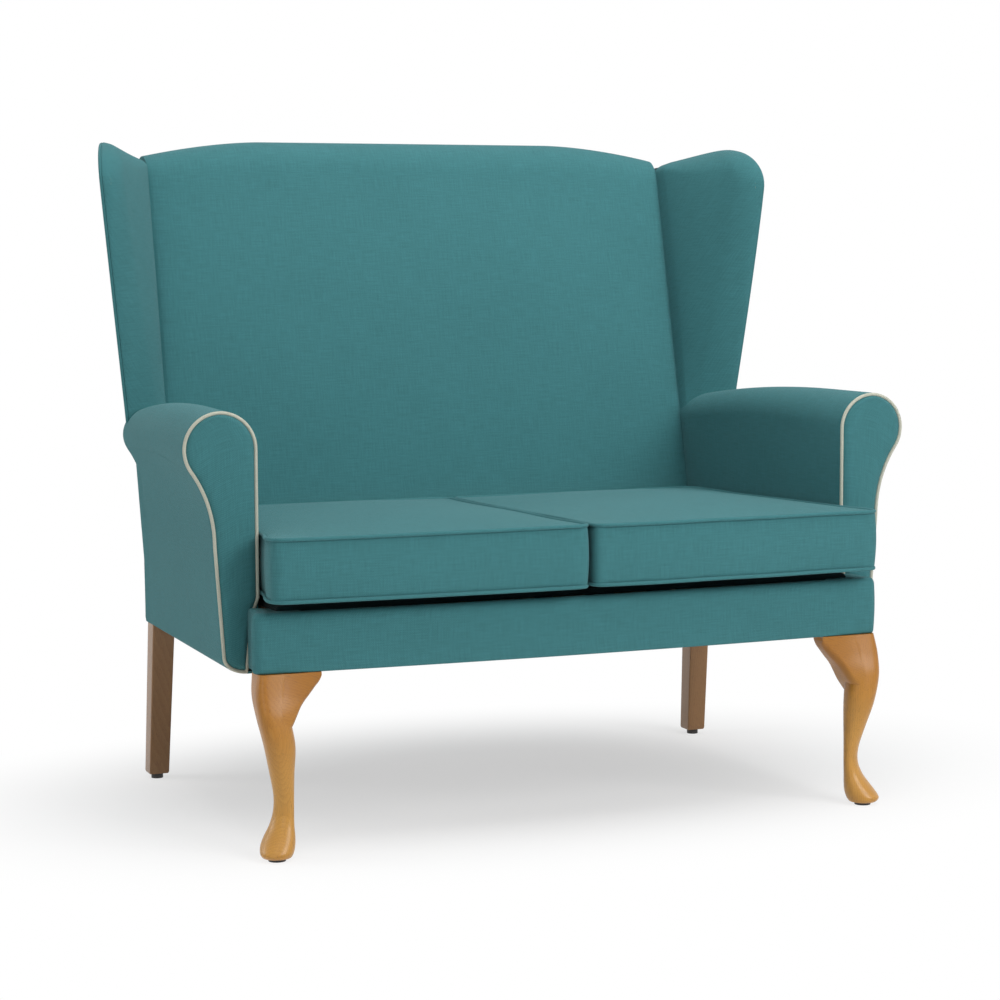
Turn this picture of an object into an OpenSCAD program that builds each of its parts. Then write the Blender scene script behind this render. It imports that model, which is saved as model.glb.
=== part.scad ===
// High back settee with flared wings, scroll arms, cabriole front legs and two loose seat cushions.
// Millimetres. +X runs to the right of someone facing the settee, +Y to the back, +Z up.
// The origin is on the floor, in the middle of the width and of the depth.
// Inside the modules Y is counted from the front of the border at its ends.

/* [Overall] */
// Width over the arm scrolls
overall_w = 1210; // [1100:5:1400]
// Height of the crest of the back
overall_h = 1080; // [1020:5:1180]
// Height of the front top edge of the seat cushions
seat_h = 480; // [440:5:540]

/* [Seat frame] */
// How far the arm scrolls stand outside the upholstered border under the cushions
scroll_over = 85; // [70:1:110]
// Height of the upholstered border
border_h = 90; // [80:1:120]
// Thickness of the padding in front of the rail
border_pad = 12; // [8:1:16]
// How far the front bows forward in the middle
front_bow = 16; // [6:1:30]
// Front of the border to the front face of the back posts
frame_d = 592; // [540:2:660]
// Thickness of the seat rails
rail_t = 25; // [20:1:30]
// Border top above the top of the rails
rail_drop = 8; // [6:1:10]
// Side of the square block on top of a front leg
block = 48; // [40:1:54]

/* [Back] */
// Rake of the back from upright, degrees
rake = 15.5; // [10:0.5:20]
// Width of a back post across the settee
post_w = 38; // [32:1:44]
// Depth of a back post
post_d = 38; // [32:1:44]
// Side of a back leg at the floor
post_foot = 34; // [28:1:38]
// How far the back legs kick backwards at the floor
post_kick = 27; // [10:1:45]
// How far the back legs splay sideways at the floor
post_splay = 5; // [0:1:10]
// Padding of the back beside the wings, at the seat
back_pad_low = 14; // [10:1:24]
// Padding of the back beside the wings, at head height
back_pad_high = 34; // [26:1:44]
// Extra fullness in the middle of the back
back_crown = 28; // [15:1:40]
// Depth of the rounded roll along the top of the back
crest_roll = 50; // [40:1:60]
// How much lower the top of the back is at its shoulders
shoulder_drop = 26; // [10:1:40]

/* [Wings] */
// How much lower the highest point of a wing is than the crest
wing_drop = 9; // [0:1:40]
// Flare of a wing outwards from straight ahead, degrees
wing_flare = 17.6; // [12:0.2:24]
// How far the front edge of a wing at its widest stands in front of the foot of the back posts
wing_reach = 38; // [10:1:70]
// How much further back the front edge is at the arm
wing_lean = 26; // [10:1:40]
// Thickness of the wing board
wing_board_t = 12; // [9:1:15]
// Padding at the front edge of a wing
wing_edge_pad = 9; // [6:1:14]

/* [Arms] */
// Height of the arms at the front above the front edge of the cushions
arm_over = 179; // [150:1:230]
// How much lower the arm is where it meets the wing
arm_fall = 27; // [10:1:40]
// How far the inner face of an arm lies inside the end of the border, at the front
arm_set_in = 29; // [20:1:40]
// The same where the arm meets the wing
arm_set_in_rear = 41; // [30:1:50]
// How much closer the outer line of a scroll is to the middle where the arm meets the wing
scroll_taper = 41; // [10:1:50]
// Front of the border to the front of the arm facings
facing_setback = 66; // [50:1:90]
// Thickness of the padded facing panel
facing_pad = 8; // [5:1:12]
// Thickness of the facing board
facing_board_t = 8; // [6:1:12]
// How far a facing stands outside the end of the border below the scroll
neck_over = 41; // [34:1:60]
// The same at the foot of the facing
foot_over = 29; // [24:1:50]
// Top of the arm to the narrowest part under the scroll
neck_drop = 199; // [160:1:240]
// Height of the outer bottom corner of a facing above its tip
foot_rise = 25; // [15:1:40]
// Thickness of the stretched outside covers
cover_t = 3; // [2:0.5:4]

/* [Front legs] */
// Half thickness of the knee across the diagonal
knee_r = 28; // [24:1:32]
// Radius of the pad foot
foot_r = 27; // [22:1:32]
// Swing of the leg's curve from the knee to the ankle and the toe
leg_swing = 28; // [20:1:32]
// Length of a knee block along the front rail
ear_len = 51; // [40:1:60]
// Height of a knee block where it meets the leg
ear_h = 76; // [60:1:84]
// How far the top of a leg stands in front of the border at its ends
leg_proud = 6; // [2:1:12]

/* [Seat cushions] */
// How far the cushions stand in front of the border
cushion_over = 35; // [25:1:50]
// How far the cushions bow forward in the middle
cushion_bow = 10; // [4:1:20]
// Height of the boxed sides between the two pipings
cushion_box = 97; // [80:1:120]
// Height of the bottom seams above the platform, which the stuffing bulges into
cushion_sag = 10; // [6:1:14]
// Rise of the crowned top above its piping
cushion_crown = 14; // [8:1:25]
// How far the sides draw in between the corners
cushion_draw = 4; // [2:1:8]
// Width of each ear in front of the arm facing
cushion_ear = 12; // [8:1:20]
// Radius of the piping
pipe_r = 3.2; // [2.4:0.2:4]
// Fall of the cushion top from front to back
cushion_fall = 14; // [0:1:25]

/* [Hidden] */

// Clearances: glued or covered neighbours, loose soft neighbours, and the overrun of cuts
snug = 0.2;
loose = 0.4;
cut = 1;
joint_gap = 0.05;

// Heights of the frame: the underside of the rails is a little higher than that of the border
rail_lift = 1.6;
deck_rise = 7;
cushion_bottom = seat_h - cushion_box;
deck_top = cushion_bottom - cushion_sag;
border_top = deck_top - deck_rise;
leg_h = border_top - border_h;
rail_top = border_top - rail_drop;
rail_low = leg_h + rail_lift;
rail_h = rail_top - rail_low;
bend_z = border_top;
arm_h = seat_h + arm_over;
neck_h = arm_h - neck_drop;

// Plan of the frame: the space behind the border's padding, how far the posts stand outside the border and
// the side rails inside the blocks, how far the arms reach under the border, and the back's room between them
pad_gap = 2;
post_proud = 1;
side_setback = 8;
arm_under = 9;
back_ease = 1;
half_w = overall_w / 2 - scroll_over;
block_out = half_w - border_pad - pad_gap;
block_in = block_out - block;
block_front = border_pad + pad_gap;
block_back = block_front + block;
post_out = half_w + post_proud;
post_in = post_out - post_w;
side_out = block_out - side_setback;
side_in = side_out - rail_t;
arm_base = leg_h - arm_under;
foot_h = arm_base + foot_rise;
neck_x = half_w + neck_over;
foot_x = half_w + foot_over;
inside_front = half_w - arm_set_in;
inside_rear = half_w - arm_set_in_rear;
scroll_rear = overall_w / 2 - scroll_taper;
back_edge = inside_rear - back_ease;

// The front face of the posts, straight up to the bend and raked above it
function post_front(z) = frame_d + max(0, z - bend_z) * tan(rake);
function post_back(z) = post_front(z) + post_d / cos(rake);

// Facing and arms along the depth: an arm keeps its scroll past the wing's edge, then closes on to the post
arm_tuck = 20;
arm_close_len = 45;
facing_front = facing_setback;
board_front = facing_front + facing_pad;
arm_front = board_front;
wing_front = frame_d - wing_reach;
arm_rear = wing_front + wing_lean + arm_tuck;
arm_end = arm_rear + arm_close_len;

// Back and crest
roll_low = crest_roll * 0.85;
roll_out = 10;
roll_back = post_back(overall_h - roll_low) + roll_out;
post_top = overall_h - crest_roll;
top_rail_h = 70;
top_rail_t = 30;

// Overall depth and the middle of it
front_reach = cushion_over + cushion_bow + pipe_r;
rear_reach = roll_back;
mid_y = (rear_reach - front_reach) / 2;

// Colours
teal = [0.27, 0.47, 0.49];
cream = [0.82, 0.82, 0.74];
beech = [0.71, 0.5, 0.29];
foam = [0.93, 0.88, 0.66];
steel = [0.6, 0.6, 0.62];
dark = [0.16, 0.14, 0.13];
board_tan = [0.8, 0.69, 0.52];
jute = [0.55, 0.4, 0.24];

function lerp(a, b, t) = a + (b - a) * t;
function clamp01(t) = max(0, min(1, t));
function bez(p0, p1, p2, p3, t) =
    p0 * pow(1 - t, 3) + p1 * 3 * t * pow(1 - t, 2) + p2 * 3 * t * t * (1 - t) + p3 * pow(t, 3);
function sum(v, i = 0) = i == len(v) - 1 ? v[i] : v[i] + sum(v, i + 1);
function middle(ring) = sum(ring) / len(ring);
function reversed(v) = [for (i = [len(v) - 1:-1:0]) v[i]];

// A smooth value from a table of evenly spaced rows, by a cubic through the neighbours
function spline(v, i, t) = let (a = v[max(i - 1, 0)], b = v[i], c = v[i + 1], d = v[min(i + 2, len(v) - 1)])
    b + 0.5 * t * (c - a + t * (2 * a - 5 * b + 4 * c - d + t * (3 * (b - c) + d - a)));
function along(v, t) = let (s = clamp01(t) * (len(v) - 1), i = min(floor(s), len(v) - 2)) spline(v, i, s - i);

// A closed solid through rings of points. An end closes to its middle, to its corner number hub if that is
// given, or from edge to edge if the ring is thin
function six_volumes(p, f) = sum([for (t = f) p[t[0]] * cross(p[t[1]], p[t[2]])]);
module skin(rings, thin = false, hub = undef) {
    n = len(rings[0]);
    m = len(rings);
    middles = thin || hub != undef ? [] : [middle(rings[0]), middle(rings[m - 1])];
    points = concat([for (r = rings) each r], middles);
    sides = [
        for (i = [0:m - 2])
            for (j = [0:n - 1])
                let (k = (j + 1) % n)
                    each [[i * n + j, i * n + n + k, i * n + k], [i * n + j, i * n + n + j, i * n + n + k]]
    ];
    centre = hub == undef ? m * n : hub;
    fan = [for (j = [0:n - 1]) if (j != hub && (j + 1) % n != hub) [centre, j, (j + 1) % n]];
    strip = [for (j = [0:n / 2 - 2]) each [[j, j + 1, n - 1 - j], [j + 1, n - 2 - j, n - 1 - j]]];
    first = thin ? strip : fan;
    last = [for (t = first) [for (k = reversed(t)) k == m * n ? k + 1 : k + m * n - n]];
    faces = concat(sides, first, last);
    turned = six_volumes(points, faces) > 0;
    polyhedron(points, [for (t = faces) turned ? reversed(t) : t]);
}

// Rings of a tube of radius r along a path that lies in the plane square to flat
function unit(v) = v / norm(v);
function tube(path, r, flat, sides = 8) = [
    for (i = [0:len(path) - 1])
        let (
            t = unit(path[min(i + 1, len(path) - 1)] - path[max(i - 1, 0)]),
            s = cross(t, flat)
        )
            [for (k = [0:sides - 1]) path[i] + r * (cos(360 * k / sides) * flat + sin(360 * k / sides) * s)]
];

// Places a piece in the part's own frame
module settle() {
    translate([0, -mid_y, 0]) children();
}
module left() {
    settle() mirror([1, 0, 0]) children();
}
module block_at(low, high) {
    translate(low) cube(high - low);
}

// Webbing: the straps are this thick, and two layers lie on the rails
strap_t = 2;
web_pack = 2 * strap_t + 3 * snug;
web_top = rail_top + 2 * (strap_t + snug);
strap_end = post_in + post_w / 4;

// Dowels: the middle of each, on the right-hand side, and the way it points
dowel_r = 5;
dowel_len = 40;
rail_dowels = [rail_low + rail_h * 0.3, rail_low + rail_h * 0.7];
top_dowels = [post_top - top_rail_h * 0.7, post_top - top_rail_h * 0.3];
low_rail_lift = 32;
low_rail_z = rail_top + low_rail_lift;
low_rail_h = 50;
low_dowels = [low_rail_z + low_rail_h * 0.3, low_rail_z + low_rail_h * 0.7];
rear_rail_y = frame_d + post_d / 2;
side_mid = side_out - rail_t / 2;
across = [for (z = rail_dowels) each [[block_in, block_front + rail_t / 2, z], [post_in, rear_rail_y, z]]];
raked = [for (z = concat(top_dowels, low_dowels)) [post_in, post_front(z) + top_rail_t / 2, z]];
lengthways = [for (z = rail_dowels) each [[side_mid, block_back, z], [side_mid, frame_d, z]]];
module dowel(at, turn, r, l) {
    translate(at) rotate(turn) cylinder(r = r, h = l, center = true, $fn = 32);
}
module right_dowels(r, l) {
    for (p = concat(across, raked)) dowel(p, [0, 90, 0], r, l);
    for (p = lengthways) dowel(p, [90, 0, 0], r, l);
}
module dowels() {
    color(beech) settle() {
        right_dowels(dowel_r, dowel_len);
        mirror([1, 0, 0]) right_dowels(dowel_r, dowel_len);
    }
}
module bores() {
    right_dowels(dowel_r + joint_gap, dowel_len + 2 * cut);
}

// Front legs: a sawn and shaped cabriole leg with a pad foot under a square block.
// Rows from the pad foot up to the knee, as shares of the height, the swing, the foot and the knee
glide_h = 5;
leg_rise_shares = [0, 0.026, 0.063, 0.107, 0.166, 0.24, 0.332, 0.461, 0.616, 0.764, 0.886, 1];
leg_out_shares = [0.04, 0.04, -0.06, -0.2, -0.37, -0.49, -0.49, -0.36, -0.19, 0.08, 0.16, 0];
leg_back_shares = [-0.94, -0.93, -0.76, -0.62, -0.5, -0.45, -0.51, -0.65, -0.83, -0.66, -0.3, 0];
leg_deep_shares = [0.82, 0.97, 0.9, 0.73, 0.52, 0.4, 0.44, 0.64, 0.87, 0.94, 0.88, 0.86];
leg_wide_shares = [0.8, 0.91, 0.96, 0.89, 0.72, 0.61, 0.59, 0.67, 0.8, 0.82, 0.88, 0.86];
leg_square_shares = [0, 0, 0, 0, 0, 0, 0, 0.04, 0.2, 0.45, 0.75, 1];
leg_rings = 24;
leg_sides = 24;
leg_x = half_w - knee_r - loose;
leg_y = block / 2 - leg_proud;
ear_bed = 6;
ear_face = leg_x - block / 2 + ear_bed;
function superellipse(r, n, q) =
    [r * sign(cos(q)) * pow(abs(cos(q)), 2 / n), r * sign(sin(q)) * pow(abs(sin(q)), 2 / n)];
function leg_mid(t) = [
    leg_x + leg_swing * along(leg_out_shares, t),
    leg_y + leg_swing * along(leg_back_shares, t),
    glide_h + (leg_h - glide_h) * along(leg_rise_shares, t)
];
function leg_ring(t) =
    let (
        deep = along(leg_deep_shares, t) * lerp(foot_r, knee_r, t),
        wide = along(leg_wide_shares, t) * lerp(foot_r, knee_r, t),
        square = along(leg_square_shares, t)
    )
        [
            for (k = [0:leg_sides - 1])
                let (
                    q = 360 * k / leg_sides,
                    oval = deep * cos(q) * [1, -1] / sqrt(2) + wide * sin(q) * [1, 1] / sqrt(2),
                    p = lerp(oval, superellipse(block / 2, 5, q - 45), square)
                )
                    leg_mid(t) + [p[0], p[1], 0]
        ];
module front_leg() {
    difference() {
        union() {
            skin([for (i = [0:leg_rings]) leg_ring(i / leg_rings)]);
            block_at([block_in, block_front, leg_h - cut], [block_out, block_back, rail_top]);
        }
        bores();
        block_at([0, -leg_h, leg_h - ear_h], [ear_face, leg_h, leg_h - snug]);
    }
}
module front_leg_right() { color(beech) settle() front_leg(); }
module front_leg_left() { color(beech) left() front_leg(); }

// Knee blocks: ogee shaped blocks glued to the leg under the front rail
ear_drop_shares = [1, 0.975, 0.87, 0.73, 0.62, 0.535, 0.455, 0.37, 0.2];
ear_stations = 12;
ear_round = 10;
ear_swell = 11;
function ear_ring(t) =
    let (
        x = ear_face - snug - (ear_len - snug) * t,
        front = leg_y - block / 2 * lerp(0.95, 0.6, t),
        knee = front - ear_swell * (1 - t),
        back = leg_y + block / 2 * lerp(0.8, 0.6, t),
        top = leg_h - snug,
        low = top - ear_h * along(ear_drop_shares, t),
        r = min(ear_round, (top - low) / 2)
    )
        [
            [x, front, top], [x, lerp(front, knee, 0.6), lerp(top, low, 0.4)], [x, knee, low + r],
            [x, knee + r * (1 - cos(45)), low + r * (1 - sin(45))], [x, knee + r, low],
            [x, back - r / 2, low], [x, back, low + r / 2], [x, back, top]
        ];
module knee_block() {
    skin([for (i = [0:ear_stations]) ear_ring(i / ear_stations)]);
}
module knee_block_right() { color(beech) settle() knee_block(); }
module knee_block_left() { color(beech) left() knee_block(); }

// Glides under the feet
front_glide_r = 13;
rear_glide_r = 10;
rear_glide_h = 9;
toe = leg_mid(0);
foot_x_rear = post_out - post_w / 2 + post_splay;
foot_y_rear = frame_d + post_d / 2 + post_kick;
module front_glides() {
    color(dark) settle() for (s = [-1, 1])
        translate([s * toe[0], toe[1], 0]) cylinder(r = front_glide_r, h = glide_h, $fn = 48);
}
module rear_glides() {
    color(dark) settle() for (s = [-1, 1])
        translate([s * foot_x_rear, foot_y_rear, 0]) cylinder(r = rear_glide_r, h = rear_glide_h, $fn = 48);
}

// Back legs: one piece from the floor to the shoulder, sawn with a bend at the seat
module rear_leg() {
    side = [
        [foot_y_rear - post_foot / 2, rear_glide_h], [foot_y_rear + post_foot / 2, rear_glide_h],
        [frame_d + post_d, leg_h], [post_back(bend_z), bend_z], [post_back(post_top), post_top],
        [post_front(post_top), post_top], [frame_d, bend_z], [frame_d, leg_h]
    ];
    face = [
        [foot_x_rear - post_foot / 2, rear_glide_h], [foot_x_rear + post_foot / 2, rear_glide_h],
        [post_out, leg_h], [post_out, post_top], [post_in, post_top], [post_in, leg_h]
    ];
    difference() {
        intersection() {
            translate([half_w - 2 * post_w, 0, 0]) rotate([90, 0, 90])
                linear_extrude(4 * post_w) polygon(side);
            translate([0, rear_reach, 0]) rotate([90, 0, 0])
                linear_extrude(rear_reach) polygon(face);
        }
        bores();
        wing_slab(wing_board_outline(0), wing_board_t, 0);
    }
}
module rear_leg_right() { color(beech) settle() rear_leg(); }
module rear_leg_left() { color(beech) left() rear_leg(); }

// Seat rails
bow_steps = 10;
border_r = border_pad + pad_gap;
bow_half = half_w - border_r;
function bow_y(x) = -front_bow * (1 - pow(x / bow_half, 2));
module front_rail() {
    bow = [for (i = [-bow_steps:bow_steps]) let (x = block_in * i / bow_steps) [x, block_front + bow_y(x)]];
    color(beech) settle() difference() {
        translate([0, 0, rail_low]) linear_extrude(rail_h)
            polygon(concat(bow, [[block_in, block_front + rail_t], [-block_in, block_front + rail_t]]));
        bores();
        mirror([1, 0, 0]) bores();
    }
}
module rear_rail() {
    color(beech) settle() difference() {
        block_at(
            [-post_in, rear_rail_y - rail_t / 2, rail_low],
            [post_in, rear_rail_y + rail_t / 2, rail_top]
        );
        bores();
        mirror([1, 0, 0]) bores();
    }
}
bolt_r = 4;
stump_front = board_front + facing_board_t + snug;
stump_d = 38;
stump_in = side_out + snug;
stump_room = 9;
stump_lift = 20;
stump_out = foot_x - cover_t - stump_room;
stump_back = stump_front + stump_d;
bolt_y = stump_front + stump_d / 2;
bolt_zs = [rail_low + rail_h * 0.42, rail_low + rail_h * 0.82];
module bolt_bores(r) {
    for (z = bolt_zs)
        translate([side_in - rail_t, bolt_y, z]) rotate([0, 90, 0]) cylinder(r = r, h = 4 * rail_t, $fn = 32);
}
module side_rail() {
    difference() {
        block_at([side_in, block_back, arm_base + cover_t + snug], [side_out, frame_d, rail_top]);
        bores();
        bolt_bores(bolt_r + joint_gap);
    }
}
module side_rail_right() { color(beech) settle() side_rail(); }
module side_rail_left() { color(beech) left() side_rail(); }
centre_rail_w = 32;
centre_rail_h = 55;
module centre_rail() {
    color(beech) settle() block_at(
        [-centre_rail_w / 2, block_front + rail_t, rail_low],
        [centre_rail_w / 2, rear_rail_y - rail_t / 2, rail_low + centre_rail_h]
    );
}
brace = 58;
brace_h = 20;
brace_t = 30;
brace_lift = 3;
module corner_braces() {
    rail_face = block_front + rail_t + snug;
    rear_face = rear_rail_y - rail_t / 2 - snug;
    x = side_in - snug;
    post_x = block_in - snug;
    post_y = block_back + snug;
    translate([0, 0, rail_low + brace_lift]) linear_extrude(brace_h) {
        polygon([
            [post_x - brace, rail_face], [post_x, rail_face], [post_x, post_y], [x, post_y],
            [x, post_y + brace], [x - brace_t / 2, post_y + brace], [post_x - brace, rail_face + brace_t / 2]
        ]);
        polygon([
            [x, frame_d - brace], [x, frame_d - snug], [x - snug, rear_face], [x - brace, rear_face],
            [x - brace, rear_face - brace_t / 2], [x - brace_t / 2, frame_d - brace]
        ]);
    }
}
module corner_blocks() {
    color(beech) settle() {
        corner_braces();
        mirror([1, 0, 0]) corner_braces();
    }
}

// Back rails: the crest rail is arched, the lower rail closes the back above the seat
shoulder_share = 0.68;
function past_shoulder(x) = max(0, abs(x) / back_edge - shoulder_share) / (1 - shoulder_share);
function crest_z(x) = overall_h - shoulder_drop * pow(past_shoulder(x), 2.2);
crest_pad = 24;
module raked_plate(outline, t, back_off) {
    translate([0, post_front(bend_z), bend_z]) rotate([90 - rake, 0, 0]) translate([0, 0, -t - back_off])
        linear_extrude(t) polygon(outline);
}
function up_rake(z) = (z - bend_z) / cos(rake);
arch_steps = 16;
module top_rail() {
    low = up_rake(post_top - top_rail_h);
    arch = [
        for (i = [-arch_steps:arch_steps])
            let (x = post_in * i / arch_steps) [x, up_rake(crest_z(x) - crest_pad)]
    ];
    color(beech) settle() difference() {
        raked_plate(concat(arch, [[post_in, low], [-post_in, low]]), top_rail_t, 0);
        bores();
        mirror([1, 0, 0]) bores();
    }
}
module lower_back_rail() {
    color(beech) settle() difference() {
        raked_plate([
            [-post_in, up_rake(low_rail_z)], [post_in, up_rake(low_rail_z)],
            [post_in, up_rake(low_rail_z + low_rail_h)], [-post_in, up_rake(low_rail_z + low_rail_h)]
        ], top_rail_t, 0);
        bores();
        mirror([1, 0, 0]) bores();
    }
}
// Room for the ends of the back straps on the front of a post
module strap_space() {
    raked_plate([
        [0, 0], [strap_end + loose, 0], [strap_end + loose, up_rake(post_top)], [0, up_rake(post_top)]
    ], web_pack + cut, -web_pack);
}
upright_w = 45;
module back_upright() {
    color(beech) settle() raked_plate([
        [-upright_w / 2, up_rake(low_rail_z + low_rail_h)], [upright_w / 2, up_rake(low_rail_z + low_rail_h)],
        [upright_w / 2, up_rake(post_top - top_rail_h)], [-upright_w / 2, up_rake(post_top - top_rail_h)]
    ], top_rail_t, 0);
}

// Arm frame: a stump bolted to the side rail, the arm rail on top of it, a thin panel between them
arm_rail_w = 30;
arm_rail_h = 32;
arm_rail_drop = 88;
arm_rail_front_share = 0.386;
arm_rail_rear_share = 0.27;
arm_rail_z = arm_h - arm_rail_drop;
arm_rail_front = lerp(inside_front, overall_w / 2, arm_rail_front_share);
arm_rail_rear = lerp(inside_rear, scroll_rear, arm_rail_rear_share);
panel_t = 3;
arm_pad = 12;
pad_out = inside_front + arm_pad;
rail_end = post_front(arm_rail_z) - snug;
arm_rail_turn = atan((arm_rail_front - arm_rail_rear) / (rail_end - stump_front));
module arm_stump() {
    difference() {
        block_at([stump_in, stump_front, rail_low + stump_lift], [stump_out, stump_back, arm_rail_z]);
        bolt_bores(bolt_r + joint_gap);
    }
}
module arm_stump_right() { color(beech) settle() arm_stump(); }
module arm_stump_left() { color(beech) left() arm_stump(); }
module arm_timber(grow) {
    difference() {
        translate([arm_rail_front, stump_front, arm_rail_z - grow]) rotate([0, 0, arm_rail_turn])
            translate([-arm_rail_w / 2 - grow, -rail_t, 0])
                cube([arm_rail_w + 2 * grow, 2 * frame_d, arm_rail_h + 2 * grow]);
        block_at([0, -frame_d, 0], [overall_w, stump_front - grow, overall_h]);
        behind_posts(-snug);
    }
}
// Everything behind the raked plane of the post fronts, moved back by off
module behind_posts(off) {
    translate([0, post_front(bend_z) + off, bend_z]) rotate([-rake, 0, 0])
        translate([-overall_w, 0, -overall_h]) cube([2 * overall_w, overall_h, 2 * overall_h]);
}
module arm_rail_right() { color(beech) settle() arm_timber(0); }
module arm_rail_left() { color(beech) left() arm_timber(0); }
module arm_panel() {
    panel_top = min(arm_rail_z, min([for (y = arm_stations) on_arc(y, neck_turn, 0)[1]])) - snug;
    panel_in = pad_out + snug;
    difference() {
        block_at([panel_in, stump_back + snug, rail_top + snug], [panel_in + panel_t, arm_end, panel_top]);
        behind_posts(-snug);
    }
}
module arm_panel_right() { color(board_tan) settle() arm_panel(); }
module arm_panel_left() { color(board_tan) left() arm_panel(); }

// The outline of an arm, seen from the front, changes from the facing to the wing
neck_turn = -35;
arc_steps = 12;
neck_steps = 6;
arm_level = 126;
arm_fall_shares = [0, 0.3, 0.575, 0.8, 1];
arm_close_share = 0.55;
level_end = arm_front + arm_level;
arm_stations = concat(
    [arm_front], [for (s = arm_fall_shares) lerp(level_end, arm_rear, s)],
    [lerp(arm_rear, arm_end, arm_close_share), arm_end]
);
arm_end_proud = 18;
neck_fall = 30;
foot_round = 6;
tip_out = 12;
function arm_part(y) = clamp01((y - arm_front) / (arm_rear - arm_front));
function arm_close(y) = clamp01((y - arm_rear) / (arm_end - arm_rear));
function arm_in(y) = lerp(inside_front, inside_rear, arm_part(y));
function arm_out(y) =
    lerp(lerp(overall_w / 2, scroll_rear, arm_part(y)), post_out + arm_end_proud, pow(arm_close(y), 2));
function arm_top(y) = arm_h - arm_fall * pow(max(0, y - level_end) / (arm_rear - level_end), 2);
function arm_r(y) = (arm_out(y) - arm_in(y)) / 2;
function arm_mid(y) = [(arm_out(y) + arm_in(y)) / 2, arm_top(y) - arm_r(y)];
function on_arc(y, q, d) = arm_mid(y) + (arm_r(y) - d) * [cos(q), sin(q)];
function neck_at(y) = [lerp(neck_x, post_out + cover_t, arm_part(y)), neck_h - neck_fall * arm_part(y)];
function foot_at(y) =
    [lerp(foot_x, post_out + cover_t, arm_part(y)), lerp(foot_h, arm_base + foot_round, arm_part(y))];
tip_x = side_out + tip_out;
function arc_points(y, d) = [for (i = [0:arc_steps]) on_arc(y, lerp(180, neck_turn, i / arc_steps), d)];
function neck_points(y, d, a) =
    let (
        e = neck_at(y) - [d, 0],
        reach = (a[1] - e[1]) * 0.36,
        b = a + reach * [sin(neck_turn), -cos(neck_turn)],
        c = e + [0, reach]
    )
        [for (i = [1:neck_steps]) bez(a, b, c, e, i / neck_steps)];
// The curl under the foot of the outside arm, drawn in by d
curl_tuck = 8;
curl_in = side_out - curl_tuck;
function curl_points(y, d) =
    let (foot = foot_at(y), wide = foot[0] - tip_x - d, tall = foot[1] - arm_base - d)
        [for (q = [0, 30, 60, 90]) [foot[0] - d - wide * (1 - cos(q)), foot[1] - tall * sin(q)]];
function place(points, y) = [for (p = points) [p[0], y, p[1]]];

// The padded inside of an arm, over the scroll to the tack line under it
function inside_arm_ring(y) =
    let (under = on_arc(y, neck_turn, 0), foot = web_top + snug)
        place(concat([[pad_out, under[1]], [pad_out, foot], [arm_in(y), foot]], arc_points(y, 0)), y);
module arm_roll() {
    skin([for (y = arm_stations) inside_arm_ring(y)], hub = 0);
}
module inside_arm() {
    difference() {
        arm_roll();
        behind_posts(-snug);
        arm_timber(snug);
        facing_plate(board_inset - snug, board_front - cut, facing_board_t + cut + snug);
        block_at(
            [stump_in - snug, board_front, rail_top],
            [stump_out + snug, stump_back + snug, arm_rail_z + snug]
        );
        strap_space();
    }
}
module inside_arm_right() { color(teal) settle() inside_arm(); }
module inside_arm_left() { color(teal) left() inside_arm(); }

// The stretched outside of an arm, from the tack line down to the rail
arm_close_y = post_back(neck_h);
outside_stations = concat(arm_stations, [arm_close_y, arm_close_y + post_d]);
function panel_part(y) = clamp01((y - arm_end) / (arm_close_y - arm_end));
function arm_tack(y, d) =
    lerp(on_arc(y, neck_turn, d), [post_out + cover_t - d, outside_wing_foot], panel_part(y));
function outside_arm_ring(y) =
    let (
        tack = arm_tack(y, -snug),
        neck = [for (p = neck_points(y, -snug, tack)) [max(p[0], post_out + cover_t + snug), p[1]]],
        out = concat([tack], neck, curl_points(y, -snug), [[curl_in, arm_base - snug]]),
        in = concat([tack - [cover_t, 0]], [for (p = neck) p - [cover_t, 0]],
            curl_points(y, cover_t - snug), [[curl_in, arm_base + cover_t - snug]])
    )
        place(concat(out, reversed(in)), y);
module behind_backs(off) {
    behind_posts(post_d / cos(rake) + off);
}
module outside_arm() {
    difference() {
        skin([for (y = outside_stations) outside_arm_ring(y)], thin = true);
        behind_backs(0);
        block_at([0, frame_d + post_d, 0], [overall_w, 2 * frame_d, bend_z]);
        block_at([0, frame_d - snug, 0], [post_out + snug, 2 * frame_d, bend_z]);
    }
}
module outside_arm_right() { color(teal) settle() outside_arm(); }
module outside_arm_left() { color(teal) left() outside_arm(); }

// The facing follows the outline of the arm at its front and runs to a tip beside the leg
board_inset = 4;
facing_gap = 1;
slant_h = 14;
slant_z = border_top + slant_h;
function facing_outline(d) = concat(
    [[tip_x + d, arm_base + d], [side_out + facing_gap + d, rail_top + loose], [inside_front + d, slant_z]],
    arc_points(arm_front, d),
    neck_points(arm_front, d, on_arc(arm_front, neck_turn, d)),
    curl_points(arm_front, d)
);
module facing_plate(d, front, t) {
    outline = facing_outline(d);
    translate([0, front + t, 0]) rotate([90, 0, 0]) linear_extrude(t)
        polygon([for (i = [0:len(outline) - 2]) outline[i]]);
}
module facing_board() {
    facing_plate(board_inset, board_front + snug, facing_board_t - snug);
}
module facing_board_right() { color(board_tan) settle() facing_board(); }
module facing_board_left() { color(board_tan) left() facing_board(); }
module arm_facing() {
    facing_plate(2 * pipe_r + loose, facing_front, facing_pad);
}
module arm_facing_right() { color(teal) settle() arm_facing(); }
module arm_facing_left() { color(teal) left() arm_facing(); }
module facing_piping() {
    skin(tube(place(facing_outline(pipe_r), board_front - pipe_r - snug), pipe_r, [0, 1, 0]));
}
module facing_piping_right() { color(cream) settle() facing_piping(); }
module facing_piping_left() { color(cream) left() facing_piping(); }

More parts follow.
